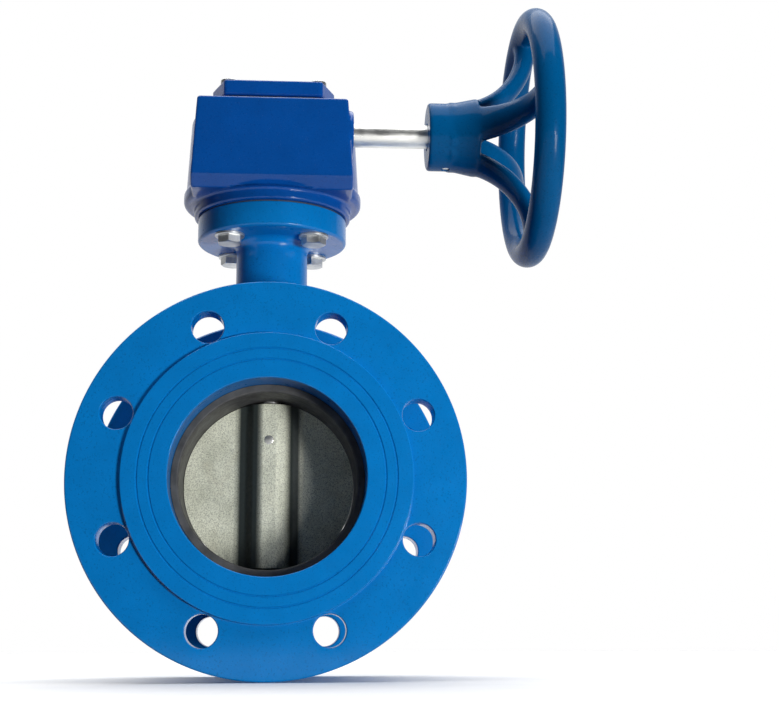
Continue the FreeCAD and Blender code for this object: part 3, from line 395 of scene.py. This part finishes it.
def paint(name, colour, roughness, grain, coat, specular):
    """Epoxy paint on a sand casting: uneven tone, orange peel, pinholes and dust."""
    shader = Shader(name)
    tone = shader.ramp(
        shader.noise(55, 4), [(0.3, scaled(colour, 0.94)), (0.7, scaled(colour, 1.06))]
    )
    pits = shader.ramp(shader.noise(900, 2), [(0.34, 0.0), (0.40, 1.0)])
    pitted = shader.mix(pits, scaled(colour, 0.80), tone)
    dust = shader.ramp(shader.noise(2300, 1), [(0.70, 0.0), (0.76, 0.05)])
    shader.set(
        Base_Color=shader.mix(dust, pitted, (0.55, 0.66, 0.75)),
        Roughness=shader.ramp(shader.noise(160, 3), [(0.3, roughness * 0.8), (0.7, roughness * 1.2)]),
        Coat_Weight=coat,
        Coat_Roughness=0.08,
        Specular_IOR_Level=specular,
    )
    shader.bumps(
        [
            (shader.noise(60, 3), 0.35 * grain, 1.0),
            (shader.noise(420, 3), 0.30 * grain, 0.35),
            (shader.noise(1500, 2), 0.25 * grain, 0.10),
        ]
    )
    return shader.material


def metal(name, colour, roughness, stretch, streak):
    """Machined metal: fine turning or brushing marks along the given stretch."""
    shader = Shader(name)
    marks = shader.noise(900, 4, 0.6, stretch)
    clouds = shader.noise(120, 3)
    tone = shader.ramp(
        marks, [(0.25, scaled(colour, 1 - streak)), (0.75, scaled(colour, 1 + streak / 3))]
    )
    shader.set(
        Base_Color=tone,
        Metallic=1.0,
        Roughness=shader.ramp(clouds, [(0.3, roughness * 0.75), (0.7, roughness * 1.3)]),
    )
    shader.bumps([(marks, 0.18, 0.06), (shader.noise(2600, 2), 0.10, 0.03)])
    return shader.material


def cast_disc():
    """Bare ductile iron with a sandy, speckled skin, and painted shade on the hub's flanks."""
    shader = Shader("disc_iron")
    base = shader.ramp(
        shader.noise(70, 5),
        [(0.30, (0.51, 0.53, 0.43)), (0.52, (0.62, 0.64, 0.53)), (0.72, (0.72, 0.74, 0.62))],
    )
    specks = shader.ramp(shader.noise(1500, 3, 0.7), [(0.36, 0.35), (0.50, 1.0), (0.64, 1.25)])
    speckled = shader.mix(0.75, base, specks, "MULTIPLY")
    rust = shader.ramp(shader.noise(38, 4), [(0.56, 0.0), (0.74, 0.22)])
    rusty = shader.mix(rust, speckled, (0.36, 0.26, 0.13))
    # painted shade: fixed dark bands across x on the hub's steep flanks, wider on the left, stand in
    # for the shade that falls there
    painted_flank_shade = [
        (0.03, 0.0), (0.08, 1.0), (0.32, 1.0), (0.42, 0.0),
        (0.76, 0.0), (0.82, 1.0), (0.92, 1.0), (0.96, 0.0),
    ]
    flank_shade_mask = shader.ramp(shader.across(20), painted_flank_shade)
    shader.set(
        Base_Color=shader.mix(flank_shade_mask, rusty, (0.030, 0.040, 0.038)),
        Metallic=0.15,
        Roughness=shader.ramp(shader.noise(500, 3), [(0.3, 0.48), (0.7, 0.72)]),
    )
    shader.bumps(
        [
            (shader.noise(90, 3), 0.35, 0.8),
            (shader.noise(700, 4, 0.65), 0.45, 0.30),
            (shader.noise(2600, 2), 0.35, 0.08),
        ]
    )
    return shader.material


def rubber(name, tone):
    """Moulded rubber with a faint bloom."""
    roughness = 0.55
    shader = Shader(name)
    bloom = shader.ramp(shader.noise(90, 4), [(0.35, tone * 0.8), (0.75, tone * 1.7)])
    shader.set(
        Base_Color=bloom,
        Roughness=shader.ramp(shader.noise(300, 3), [(0.3, roughness * 0.85), (0.7, roughness * 1.2)]),
        Specular_IOR_Level=0.2,
    )
    shader.bumps([(shader.noise(1400, 3), 0.25, 0.06), (shader.noise(130, 2), 0.15, 0.3)])
    return shader.material


def plain(name, colour, roughness):
    """Fibre sheet or moulded plastic with a fine grain."""
    grain = 800
    shader = Shader(name)
    shader.set(
        Base_Color=shader.ramp(
            shader.noise(grain, 3), [(0.3, scaled(colour, 0.8)), (0.7, scaled(colour, 1.15))]
        ),
        Roughness=roughness,
    )
    shader.bumps([(shader.noise(grain * 2, 2), 0.3, 0.05)])
    return shader.material


body_paint = paint("body_paint", (0.001, 0.178, 0.530), 0.32, 0.7, coat=0.45, specular=0.04)
gearbox_paint = paint("gearbox_paint", (0.001, 0.068, 0.320), 0.32, 0.9, coat=0.50, specular=0.04)
wheel_paint = paint("wheel_paint", (0.000, 0.080, 0.235), 0.26, 0.25, coat=0.10, specular=0.02)
zinc = metal("zinc_steel", (0.56, 0.57, 0.57), 0.40, (1, 1, 1), 0.2)
steel = metal("bare_steel", (0.78, 0.78, 0.75), 0.34, (0.06, 1, 1), 0.3)
stem_steel = metal("stem_steel", (0.60, 0.60, 0.60), 0.25, (1, 1, 0.06), 0.3)
gear_iron = metal("gear_iron", (0.30, 0.29, 0.28), 0.42, (1, 1, 1), 0.3)
bronze = metal("bronze", (0.62, 0.42, 0.18), 0.32, (1, 1, 1), 0.2)
disc_iron = cast_disc()
seat_rubber = rubber("seat_rubber", 0.060)
seal_rubber = rubber("seal_rubber", 0.02)
gasket_fibre = plain("gasket_fibre", (0.035, 0.045, 0.055), 0.75)
pointer_plastic = plain("pointer_plastic", (0.75, 0.52, 0.03), 0.42)


# ---------------------------------------------------------------- valve body

FLANGE_FACE = 60.5
FLANGE_BACK = 44.5
FLANGE_RADIUS = 110.0
RAISED_RADIUS = 80.0
BORE_RADIUS = 54.5
BARREL_RADIUS = 66.0
BOLT_CIRCLE_RADIUS = 90.0
RING_DEPTH = 0.55
GASKET_RINGS = (64.3, 70.5)
BOLT_HOLE_EDGE = ((9.0, 0.9), (9.15, 0.35), (9.45, 0.08), (10.2, -0.3))
NECK_RADIUS = 21.5
PAD_UNDER = 147.5
PAD_RADIUS = 45.0
PAD_TOP = 162.5
STEM_BORE_RADIUS = 10.02
PAD_BOLT_CIRCLE_RADIUS = 35.0
CORNER_ANGLES = (45, 135, 225, 315)


def half_body(side):
    """One half of the flanged barrel's profile, from the bore's mouth to mid length."""
    face = HALF_LENGTH
    floor = HALF_LENGTH - RING_DEPTH
    corners = [(BORE_RADIUS, face, 0.7)]
    for ring in GASKET_RINGS:
        corners += [
            (ring, face, 0), (ring + 0.35, floor, 0), (ring + 0.85, floor, 0), (ring + 1.3, face, 0),
        ]
    corners += [
        (RAISED_RADIUS, face, 0.5),
        (RAISED_RADIUS, FLANGE_FACE, 0.8),
        (FLANGE_RADIUS, FLANGE_FACE, 1.0),
        (FLANGE_RADIUS, FLANGE_BACK, 1.8),
        (BARREL_RADIUS, FLANGE_BACK - 0.6, 6.0),
    ]
    return [(radius, side * level, rounding) for radius, level, rounding in corners]


def bolt_cutter():
    """The space of a bolt hole through both flanges, opening out at each face."""
    mouth = BOLT_HOLE_EDGE[-1][0]
    beyond = HALF_LENGTH + 8
    inside = [(radius, FLANGE_BACK + depth, 0) for radius, depth in BOLT_HOLE_EDGE[::-1]]
    outside = [(radius, FLANGE_FACE - depth, 0) for radius, depth in BOLT_HOLE_EDGE]
    rising = inside + outside + [(mouth, beyond, 0), (0, beyond, 0)]
    falling = [(radius, -level, 0) for radius, level, _ in rising[::-1]]
    cutter = lathe("bolt_cutter", falling + rising, pipe_axis, sides=72)
    spot = Matrix.Translation((0, 0, BOLT_CIRCLE_RADIUS * MM))
    cutter.data.transform(spot)
    return copies(cutter, around(pipe_axis, [22.5 + 45 * step for step in range(8)]))


def make_body():
    """The cast body: flanged barrel, neck with the gearbox pad, and the lower boss."""
    profile = half_body(-1) + half_body(1)[::-1]
    body = lathe("body_casting", profile, pipe_axis, sides=288, closed=True)
    neck = lathe(
        "neck",
        [
            (0, 50, 0), (34, 50, 0), (34, 59, 0), (NECK_RADIUS, 76, 16), (NECK_RADIUS, PAD_UNDER, 6),
            (PAD_RADIUS, PAD_UNDER, 2), (PAD_RADIUS, PAD_TOP, 1), (0, PAD_TOP, 0),
        ],
        sides=160,
    )
    boss = lathe(
        "boss",
        [(0, -50, 0), (31, -50, 0), (31, -60, 0), (19, -76, 12), (19, -92, 1.2), (0, -92, 0)],
        sides=128,
    )
    for part in (neck, boss):
        core = [(0, -90, 0), (58, -90, 0), (58, 90, 0), (0, 90, 0)]
        cut(part, lathe("core", core, pipe_axis, sides=160))
    add(body, neck, boss)
    stem_bore = lathe(
        "stem_bore",
        [
            (0, -95, 0), (12.02, -95, 0), (12.02, -85, 0), (STEM_BORE_RADIUS, -85, 0),
            (STEM_BORE_RADIUS, 157, 0), (14, 157, 0), (14, 166, 0), (0, 166, 0),
        ],
        sides=64,
    )
    pad_hole = lathe("pad_hole", [(0, 140, 0), (4.5, 140, 0), (4.5, 170, 0), (0, 170, 0)], sides=40)
    pad_hole.data.transform(Matrix.Translation((PAD_BOLT_CIRCLE_RADIUS * MM, 0, 0)))
    pad_holes = copies(pad_hole, around(stem_axis, CORNER_ANGLES))
    cut(body, stem_bore, pad_holes, bolt_cutter())
    finish(body, "valve", body_paint, ["valve_body"])


make_body()


# ---------------------------------------------------------------- seat, disc and stem

SEAT_BORE_RADIUS = 50.0
SEAT_RADIUS = 54.4
SEAT_END = 41.4
DISC_RADIUS = 49.7
DISC_PIN_HEIGHT = 26.4

seat = lathe(
    "seat_sleeve",
    [
        (SEAT_BORE_RADIUS, -SEAT_END, 1.2), (SEAT_RADIUS, -SEAT_END, 0.3),
        (SEAT_RADIUS, SEAT_END, 0.3), (SEAT_BORE_RADIUS, SEAT_END, 1.2),
    ],
    pipe_axis,
    sides=256,
    closed=True,
)
cut(seat, lathe("stem_hole", [(0, -70, 0), (8.1, -70, 0), (8.1, 70, 0), (0, 70, 0)], sides=64))
finish(seat, "valve", seat_rubber, ["seat_liner"])


def make_disc():
    """A thin blade with a thick hub down the stem, trimmed by a ball so that it turns in the seat."""
    quarter = [(DISC_RADIUS, 4.0, 0.5), (19.8, 4.0, 5), (13.2, 6.6, 5), (9.6, 11.4, 4), (4.6, 14.0, 5)]
    right_front = [(across, -up, rounding) for across, up, rounding in quarter[::-1]]
    left_front = [(-across, -up, rounding) for across, up, rounding in quarter]
    left_back = [(-across, up, rounding) for across, up, rounding in quarter[::-1]]
    disc = prism("disc_casting", quarter + left_back + left_front + right_front, -52, 52)
    steps = 96
    ball = [(0, -DISC_RADIUS, 0)]
    for step in range(1, steps):
        angle = math.pi * step / steps
        ball.append((DISC_RADIUS * math.sin(angle), -DISC_RADIUS * math.cos(angle), 0))
    ball.append((0, DISC_RADIUS, 0))
    combine(disc, [lathe("ball", ball, sides=256)], "INTERSECT")
    cut(disc, lathe("stem_hole", [(0, -60, 0), (8.02, -60, 0), (8.02, 60, 0), (0, 60, 0)], sides=64))
    finish(disc, "closing_disc", disc_iron, ["disc"], sharp=32)


make_disc()

pin_place = pipe_axis @ Matrix.Translation((0, -DISC_PIN_HEIGHT * MM, 0))
pin_profile = [(0, -14.6, 0), (2.7, -14.6, 0.5), (2.7, 14.6, 0.5), (0, 14.6, 0)]
pin = lathe("disc_dowel", pin_profile, pin_place, 48)
finish(pin, "closing_disc", steel, ["disc_pin"])

stem = lathe(
    "stem_bar",
    [
        (0, -84, 0), (8, -84, 0.8), (8, 158.5, 0), (7.3, 158.5, 0), (7.3, 159.8, 0),
        (8, 159.8, 0), (8, 177, 0.6), (0, 177, 0),
    ],
    sides=64,
)
square = prism(
    "square",
    [(-5.5, -5.5, 0.8), (5.5, -5.5, 0.8), (5.5, 5.5, 0.8), (-5.5, 5.5, 0.8)],
    176,
    222,
    edge=0.5,
)
finish(joined("stem_bar", [stem, square]), "closing_disc", stem_steel, ["stem"])


# ---------------------------------------------------------------- fasteners


def hex_corners(flats):
    """The corners of a hexagon, slightly rounded, from its size across flats."""
    reach = flats / math.sqrt(3)
    corners = []
    for side in range(6):
        angle = math.radians(60 * side + 30)
        corners.append((reach * math.cos(angle), reach * math.sin(angle), 0.35))
    return corners


def hex_head(name, flats, low, high, place, chamfer_low, chamfer_high):
    """A hexagon with its corners turned off in a cone on its free ends."""
    head = prism(name, hex_corners(flats), low, high, place)
    corner = flats / math.sqrt(3) + 0.05
    flat = flats / 2 * 0.96
    chamfer = (corner - flat) * 0.5
    clear = corner + 1
    cone = [(0, low - 0.01, 0), (flat if chamfer_low else clear, low - 0.01, 0)]
    if chamfer_low:
        cone.append((corner, low + chamfer, 0))
    if chamfer_high:
        cone.append((corner, high - chamfer, 0))
    cone += [(flat if chamfer_high else clear, high + 0.01, 0), (0, high + 0.01, 0)]
    return combine(head, [lathe("cone", cone, place, 96)], "INTERSECT")


WASHER_UNDER = PAD_UNDER - 1.6
HEAD_TURN = math.radians(12)

corner_turns = around(stem_axis, CORNER_ANGLES)
bolt_spot = Matrix.Translation((PAD_BOLT_CIRCLE_RADIUS * MM, 0, 0))
bolt_place = stem_axis @ bolt_spot @ Matrix.Rotation(HEAD_TURN, 4, "Z")
bolt = joined(
    "mounting_screws",
    [
        hex_head("head", 13, PAD_UNDER - 6.2, WASHER_UNDER, bolt_place, True, False),
        lathe("shank", [(0, 145, 0), (4, 145, 0), (4, 171, 0.8), (0, 171, 0)], bolt_place, 40),
    ],
)
finish(copies(bolt, corner_turns), "valve", zinc, ["mounting_bolts"], sharp=28)
washer = lathe(
    "mounting_rings",
    [(4.3, WASHER_UNDER, 0.2), (8.8, WASHER_UNDER, 0.4), (8.8, PAD_UNDER, 0.2), (4.3, PAD_UNDER, 0)],
    bolt_place,
    72,
    closed=True,
)
finish(copies(washer, corner_turns), "valve", zinc, ["mounting_washers"])

plug = joined(
    "blanking_plug",
    [
        hex_head("head", 27, -100.5, -93.5, stem_axis, True, False),
        lathe("spigot", [(0, -94, 0), (12, -94, 0), (12, -85.5, 1), (0, -85.5, 0)], sides=64),
    ],
)
finish(plug, "valve", zinc, ["bottom_plug"], sharp=28)


# ---------------------------------------------------------------- gearbox casing


def mirrored(half):
    """An outline given by its right half, mirrored about the vertical."""
    return half + [(-across, up, rounding) for across, up, rounding in half[::-1]]


def octagon(inset, rounding):
    """The lid's outline, a square with its corners cut off, made smaller by the inset."""
    right = [
        (29 - inset, -36 + inset, rounding), (37 - inset, -16 + inset / 2, rounding),
        (37 - inset, 16 - inset / 2, rounding), (29 - inset, 36 - inset, rounding),
    ]
    return mirrored(right)


FOOT_LOW = 163.1
FOOT_TOP = 170.0
BEVEL_TOP = 177.0
CASING_TOP = 225.0
CHAMBER_FLOOR = 177.5
LID_LOW = 231.0
LID_TOP = 240.5
LID_SCREW_CIRCLE_RADIUS = 38.0
STOP_OFFSET = 20.7
STOP_BOSS_END = -52.0

# outlines drawn from the front, with depth running towards the inlet, and from the side
front_place = stem_axis @ Matrix.Rotation(math.radians(90), 4, "X")
side_place = stem_axis @ Matrix(((0, 0, 1, 0), (1, 0, 0, 0), (0, 1, 0, 0), (0, 0, 0, 1)))
stop_places = [
    front_place @ Matrix.Translation((side * STOP_OFFSET * MM, WORM_Z * MM, 0)) for side in (-1, 1)
]


def make_casing():
    """The gearbox: round foot, block over the worm, bosses, and the land under the lid."""
    casing = lathe(
        "gearbox_casing",
        [
            (0, FOOT_LOW, 0), (47.5, FOOT_LOW, 1), (47.5, FOOT_TOP, 1.5), (54, FOOT_TOP, 5),
            (54, 177.5, 1.2), (52.6, 178.5, 0.8), (50, CASING_TOP, 3), (0, CASING_TOP, 0),
        ],
        sides=192,
    )
    trim = [(-48.5, 240, 0), (-48.5, 177.1, 0), (-43.5, 170.1, 0), (-70, 170.1, 0), (-70, 240, 0)]
    cut(casing, prism("trim", trim, -80, 80, side_place))
    block = prism(
        "block",
        mirrored([(47.3, FOOT_TOP + 0.05, 1), (47.3, BEVEL_TOP, 6), (44.4, CASING_TOP, 1.6)]),
        24,
        49,
        front_place,
        edge=1.2,
    )
    bevel_cut = [(-60, 160, 0), (-36.9, 160, 0), (-49.05, BEVEL_TOP, 0), (-60, BEVEL_TOP, 0)]
    cut(block, prism("bevel", bevel_cut, -80, 80, side_place))
    boss_profile = [(0, 20, 0), (14.5, 20, 0), (14.5, 47.8, 1.5), (0, 47.8, 0)]
    boss = lathe("gland_boss", boss_profile, worm_axis, 96)
    stop_profile = [(0, STOP_BOSS_END, 0), (8, STOP_BOSS_END, 1), (8, -40, 0), (0, -40, 0)]
    stops = [lathe("stop_boss", stop_profile, place, 64) for place in stop_places]
    land = prism("land", octagon(2.5, 2), 222, 229.5)
    casing = cast_skin(joined("gearbox_casing", [casing, block, boss, land] + stops), 0.7, 5)
    chamber_profile = [(0, CHAMBER_FLOOR, 0), (33, CHAMBER_FLOOR, 0), (33, 232, 0), (0, 232, 0)]
    chamber = lathe("chamber", chamber_profile, sides=96)
    tunnel = lathe("tunnel", [(0, -41, 0), (11.3, -41, 0), (11.3, 60, 0), (0, 60, 0)], worm_axis, 64)
    stem_hole = lathe("stem_hole", [(0, 160, 0), (10, 160, 0), (10, 180, 0), (0, 180, 0)], sides=48)
    cut(casing, chamber, tunnel, stem_hole)
    finish(casing, "valve", gearbox_paint, ["gearbox_housing"], sharp=60)


make_casing()

lid = prism("gearbox_lid", octagon(0, 2.5), LID_LOW, LID_TOP, edge=1.2)
cut(lid, lathe("spigot_hole", [(0, 228, 0), (9.1, 228, 0), (9.1, 244, 0), (0, 244, 0)], sides=64))
finish(lid, "valve", gearbox_paint, ["gearbox_cover"])

lid_place = stem_axis @ Matrix.Translation((LID_SCREW_CIRCLE_RADIUS * MM, 0, 0))
lid_screw = lathe(
    "lid_screws",
    [(0, 223, 0), (3, 223, 0.5), (3, LID_TOP, 0), (5, LID_TOP, 0.2), (5, 243.3, 1.0), (0, 243.3, 0)],
    lid_place,
    56,
)
socket = prism("socket", hex_corners(4), 241.8, 246, lid_place)
cut(lid_screw, socket)
finish(copies(lid_screw, corner_turns), "valve", zinc, ["cover_screws"], sharp=28)

gland = lathe(
    "worm_end_cap",
    [(7.05, 41.5, 0), (11, 41.5, 0), (11, 46.8, 0.8), (7.05, 46.8, 0.3)],
    worm_axis,
    96,
    closed=True,
)
finish(gland, "valve", zinc, ["worm_gland"])


def make_stops():
    """The two end stop screws with their lock nuts."""
    screws = []
    nuts = []
    for place in stop_places:
        screw = lathe("stop", [(0, -62, 0), (4, -62, 0.8), (4, -9.4, 0.8), (0, -9.4, 0)], place, 56)
        cut(screw, prism("socket", hex_corners(4), -64, -58, place))
        screws.append(screw)
        nut = hex_head("nut", 13, -58.5, STOP_BOSS_END, place, True, True)
        cut(nut, lathe("thread", [(0, -64, 0), (4.1, -64, 0), (4.1, -48, 0), (0, -48, 0)], place, 56))
        nuts.append(nut)
    finish(joined("end_stops", screws), "valve", zinc, ["stop_screws"], sharp=28)
    finish(joined("end_stop_nuts", nuts), "valve", zinc, ["stop_lock_nuts"], sharp=28)


make_stops()


# ---------------------------------------------------------------- pointer

POINTER_LOW = 241.3
POINTER_TOP = 243.8

arrow = [
    (18, 0, 0.8), (9, 8, 0.8), (9, 5, 0.5), (-18, 5, 2), (-18, -5, 2), (9, -5, 0.5), (9, -8, 0.8),
]
pointer = prism("pointer_plate", arrow, POINTER_LOW, POINTER_TOP, edge=0.5)
cut(pointer, lathe("screw_hole", [(0, 240, 0), (2.6, 240, 0), (2.6, 245, 0), (0, 245, 0)], sides=48))
finish(pointer, "closing_disc", pointer_plastic, ["position_pointer"])

pointer_screw = lathe(
    "pointer_fixing",
    [
        (0, 232, 0), (2.5, 232, 0.4), (2.5, POINTER_TOP, 0),
        (4.2, POINTER_TOP, 0.2), (4.2, 245.6, 1.2), (0, 246.2, 0),
    ],
    sides=56,
)
slot_corners = [(-6, -0.5, 0), (6, -0.5, 0), (6, 0.5, 0), (-6, 0.5, 0)]
cut(pointer_screw, prism("slot", slot_corners, 245.2, 248))
finish(pointer_screw, "closing_disc", zinc, ["pointer_screw"], sharp=28)


# ---------------------------------------------------------------- handwheel and its shaft

RIM_RADIUS = 68.5
RIM_PLANE = 154.3
RIM_SECTION = 8.7
SPOKE_BEND = 49.5
SPOKE_START = 14.5
SPOKE_TURN = -8.0
PIN_LEVEL = 103.0
THREAD_LEAD = 1.5 * math.pi
THREAD_TURNS = 6.6


def make_handwheel():
    """Rim, hub and four spokes that leave the hub along the shaft and bend out to the rim."""
    ring_steps = 48
    rim = []
    for step in range(ring_steps):
        angle = ROUND * step / ring_steps
        across = RIM_RADIUS + RIM_SECTION * math.cos(angle)
        rim.append((across, RIM_PLANE + RIM_SECTION * math.sin(angle), 0))
    shapes = [lathe("rim", rim, worm_axis, 256, closed=True)]
    hub = [
        (0, 92, 0), (20.2, 92, 1.0), (20.2, 106, 14), (23.6, 122.0, 1.5), (17, 122.6, 3),
        (10, 118, 4), (0, 117.5, 0),
    ]
    shapes.append(lathe("hub", hub, worm_axis, 160))
    stations = []
    steps = 40
    for step in range(steps + 1):
        angle = math.pi / 2 * step / steps
        across = SPOKE_START + SPOKE_BEND - SPOKE_BEND * math.cos(angle)
        level = RIM_PLANE - SPOKE_BEND + SPOKE_BEND * math.sin(angle)
        centre = Vector((across, 0, level))
        direction = Vector((math.sin(angle), 0, math.cos(angle)))
        along = step / steps
        at_rim = 1.6 * math.exp(-9 * (1 - along))
        thickness = 5.5 + at_rim
        width = 6.4 + 7.6 * math.exp(-2.0 * along) + at_rim
        stations.append((centre, direction, thickness, width))
    spoke = sweep("spoke", stations, worm_axis)
    turns = around(worm_axis, [SPOKE_TURN + 90 * step for step in range(4)])
    shapes.append(copies(spoke, turns))
    wheel = joined("handwheel_casting", shapes)
    cast_skin(wheel, 0.8, 10)
    bore = [(0, 80, 0), (8.4, 80, 0), (8.4, 92.4, 0), (7.05, 93.4, 0), (7.05, 125, 0), (0, 125, 0)]
    pin_spot = Matrix.Translation((0, 0, PIN_LEVEL * MM))
    pin_place = worm_axis @ pin_spot @ Matrix.Rotation(math.radians(90), 4, "Y")
    pin_hole = [(0, -30, 0), (2.55, -30, 0), (2.55, 30, 0), (0, 30, 0)]
    cut(wheel, lathe("bore", bore, worm_axis, 72), lathe("pin_hole", pin_hole, pin_place, 40))
    finish(wheel, "worm_drive", wheel_paint, ["handwheel"], sharp=50)
    pin_profile = [(0, -19.5, 0), (2.5, -19.5, 0.6), (2.5, 19.5, 0.6), (0, 19.5, 0)]
    pin = lathe("wheel_dowel", pin_profile, pin_place, 40)
    finish(pin, "worm_drive", zinc, ["handwheel_pin"])


make_handwheel()


def make_shaft():
    """The shaft with its collars, and the worm's thread as one swept ridge."""
    shaft = lathe(
        "drive_shaft",
        [
            (0, -40, 0), (7, -40, 0.8), (7, -19, 0), (8.5, -19, 0.3), (8.5, -17, 0.3),
            (5.6, -16.9, 0), (5.6, 16.9, 0),
            (8.5, 17, 0.3), (8.5, 19, 0.3), (7, 19, 0), (7, 117, 1.0), (0, 117, 0),
        ],
        worm_axis,
        96,
    )
    flank = [(5.4, 1.8), (7.5, 1.1), (9.0, 0.55)]
    section = flank + [(radius, -half) for radius, half in flank[::-1]]
    steps = int(THREAD_TURNS * 40)
    builder = bmesh.new()
    rows = []
    for step in range(steps + 1):
        turn = THREAD_TURNS * (step / steps - 0.5)
        angle = math.radians(90) - ROUND * turn
        row = []
        for radius, shift in section:
            level = turn * THREAD_LEAD + shift
            row.append(builder.verts.new((radius * math.cos(angle), radius * math.sin(angle), level)))
        rows.append(row)
    for low, high in zip(rows, rows[1:]):
        for index in range(len(low)):
            following = (index + 1) % len(low)
            builder.faces.new((low[index], high[index], high[following], low[following]))
    builder.faces.new(rows[0])
    builder.faces.new(rows[-1])
    thread = mesh_from(builder, "thread", worm_axis)
    finish(joined("drive_shaft", [shaft, thread]), "worm_drive", steel, ["worm_shaft"])


make_shaft()


# ---------------------------------------------------------------- inner parts kept from the CAD

for material, names in (
    (bronze, ("stem_bush_upper", "stem_bush_middle", "stem_bush_lower")),
    (bronze, ("worm_bush_blind", "worm_bush_drive")),
    (seal_rubber, ("stem_seal_rings", "worm_shaft_seal", "pointer_seal")),
    (stem_steel, ("stem_circlip", "thrust_washers")),
    (zinc, ("bottom_plug_washer",)),
    (gasket_fibre, ("mounting_gasket", "cover_gasket")),
    (gear_iron, ("worm_wheel",)),
):
    for name in names:
        mesh = nodes[name].data
        mesh.materials.clear()
        mesh.materials.append(material)


# ---------------------------------------------------------------- floor, light and camera

FLOOR_REACH = 1400
FLOOR_GAP = 0.3

low, high = cad_box
floor_builder = bmesh.new()
bmesh.ops.create_grid(floor_builder, x_segments=8, y_segments=8, size=FLOOR_REACH)
floor = mesh_from(floor_builder, "floor", Matrix.Translation((0, 0, low[2] - FLOOR_GAP * MM)))
floor_shader = Shader("floor_paper")
floor_shader.set(
    Base_Color=floor_shader.ramp(floor_shader.noise(30, 2), [(0.3, 0.86), (0.7, 0.89)]), Roughness=0.75
)
floor.data.materials.append(floor_shader.material)
# the pale floor catches the valve's shadow, without throwing light up on it
floor.visible_diffuse = False
floor.visible_shadow = False


def make_studio():
    """A room that is white behind the valve and dim in front of it, whose walls all look white."""
    world = bpy.data.worlds.new("studio")
    bpy.context.scene.world = world
    world.use_nodes = True
    sky = world.node_tree
    direction = sky.nodes.new("ShaderNodeTexCoord")
    split = sky.nodes.new("ShaderNodeSeparateXYZ")
    shade = sky.nodes.new("ShaderNodeValToRGB")
    dim, bright = shade.color_ramp.elements
    dim.position = 0.62
    dim.color = (0.045, 0.05, 0.06, 1)
    bright.position = 0.90
    bright.color = (1, 1, 1, 1)
    lift = sky.nodes.new("ShaderNodeMapRange")
    lift.inputs["From Min"].default_value = -1
    lift.inputs["From Max"].default_value = 1
    sky.links.new(direction.outputs["Generated"], split.inputs["Vector"])
    sky.links.new(split.outputs["Y"], lift.inputs["Value"])
    sky.links.new(lift.outputs["Result"], shade.inputs["Fac"])
    seen = sky.nodes.new("ShaderNodeLightPath")
    walls = sky.nodes.new("ShaderNodeMix")
    walls.data_type = "RGBA"
    walls.inputs[7].default_value = (1, 1, 1, 1)
    sky.links.new(seen.outputs["Is Camera Ray"], walls.inputs[0])
    sky.links.new(shade.outputs["Color"], walls.inputs[6])
    sky.links.new(walls.outputs[2], sky.nodes["Background"].inputs["Color"])
    sky.nodes["Background"].inputs["Strength"].default_value = 1.0


make_studio()


def softbox(name, spot, target, size, power, tint=(1, 1, 1)):
    """A square or oblong lamp at a spot in metres, aimed at its target."""
    light = bpy.data.lights.new(name, "AREA")
    light.shape = "RECTANGLE"
    light.size, light.size_y = size
    light.energy = power
    light.color = tint
    lamp = bpy.data.objects.new(name, light)
    lamp.location = spot
    aim = Vector(target) - Vector(spot)
    lamp.rotation_euler = aim.to_track_quat("-Z", "Y").to_euler()
    bpy.context.scene.collection.objects.link(lamp)


centre = ((low[0] + high[0]) / 2, (low[1] + high[1]) / 2, (low[2] + high[2]) / 2)
softbox("key", (0.82, -1.05, -0.25), centre, (0.30, 0.30), 15.5, (1.0, 0.99, 0.96))
softbox("glint", (0.55, -0.95, -0.05), (0.0, 0.0, 0.15), (0.10, 0.10), 1.6)
softbox("top", (0.0, 0.3, 2.4), (0.0, 0.3, 0.0), (3.0, 3.0), 108)

CAMERA_SPOT = (0.0106, -0.7608, -0.0856)
CAMERA_YAW = -0.0739
CAMERA_PITCH = 0.2012
CAMERA_ROLL = -0.004
CAMERA_LENS = 64.4

camera_data = bpy.data.cameras.new("camera")
camera_data.sensor_width = 36.0
camera_data.lens = CAMERA_LENS
camera_data.clip_end = 50
camera = bpy.data.objects.new("camera", camera_data)
camera.matrix_world = (
    Matrix.Translation(CAMERA_SPOT)
    @ Matrix.Rotation(CAMERA_YAW, 4, "Z")
    @ Matrix.Rotation(math.radians(90) + CAMERA_PITCH, 4, "X")
    @ Matrix.Rotation(CAMERA_ROLL, 4, "Z")
)
bpy.context.scene.collection.objects.link(camera)
bpy.context.scene.camera = camera
bpy.context.scene.view_settings.view_transform = "Standard"
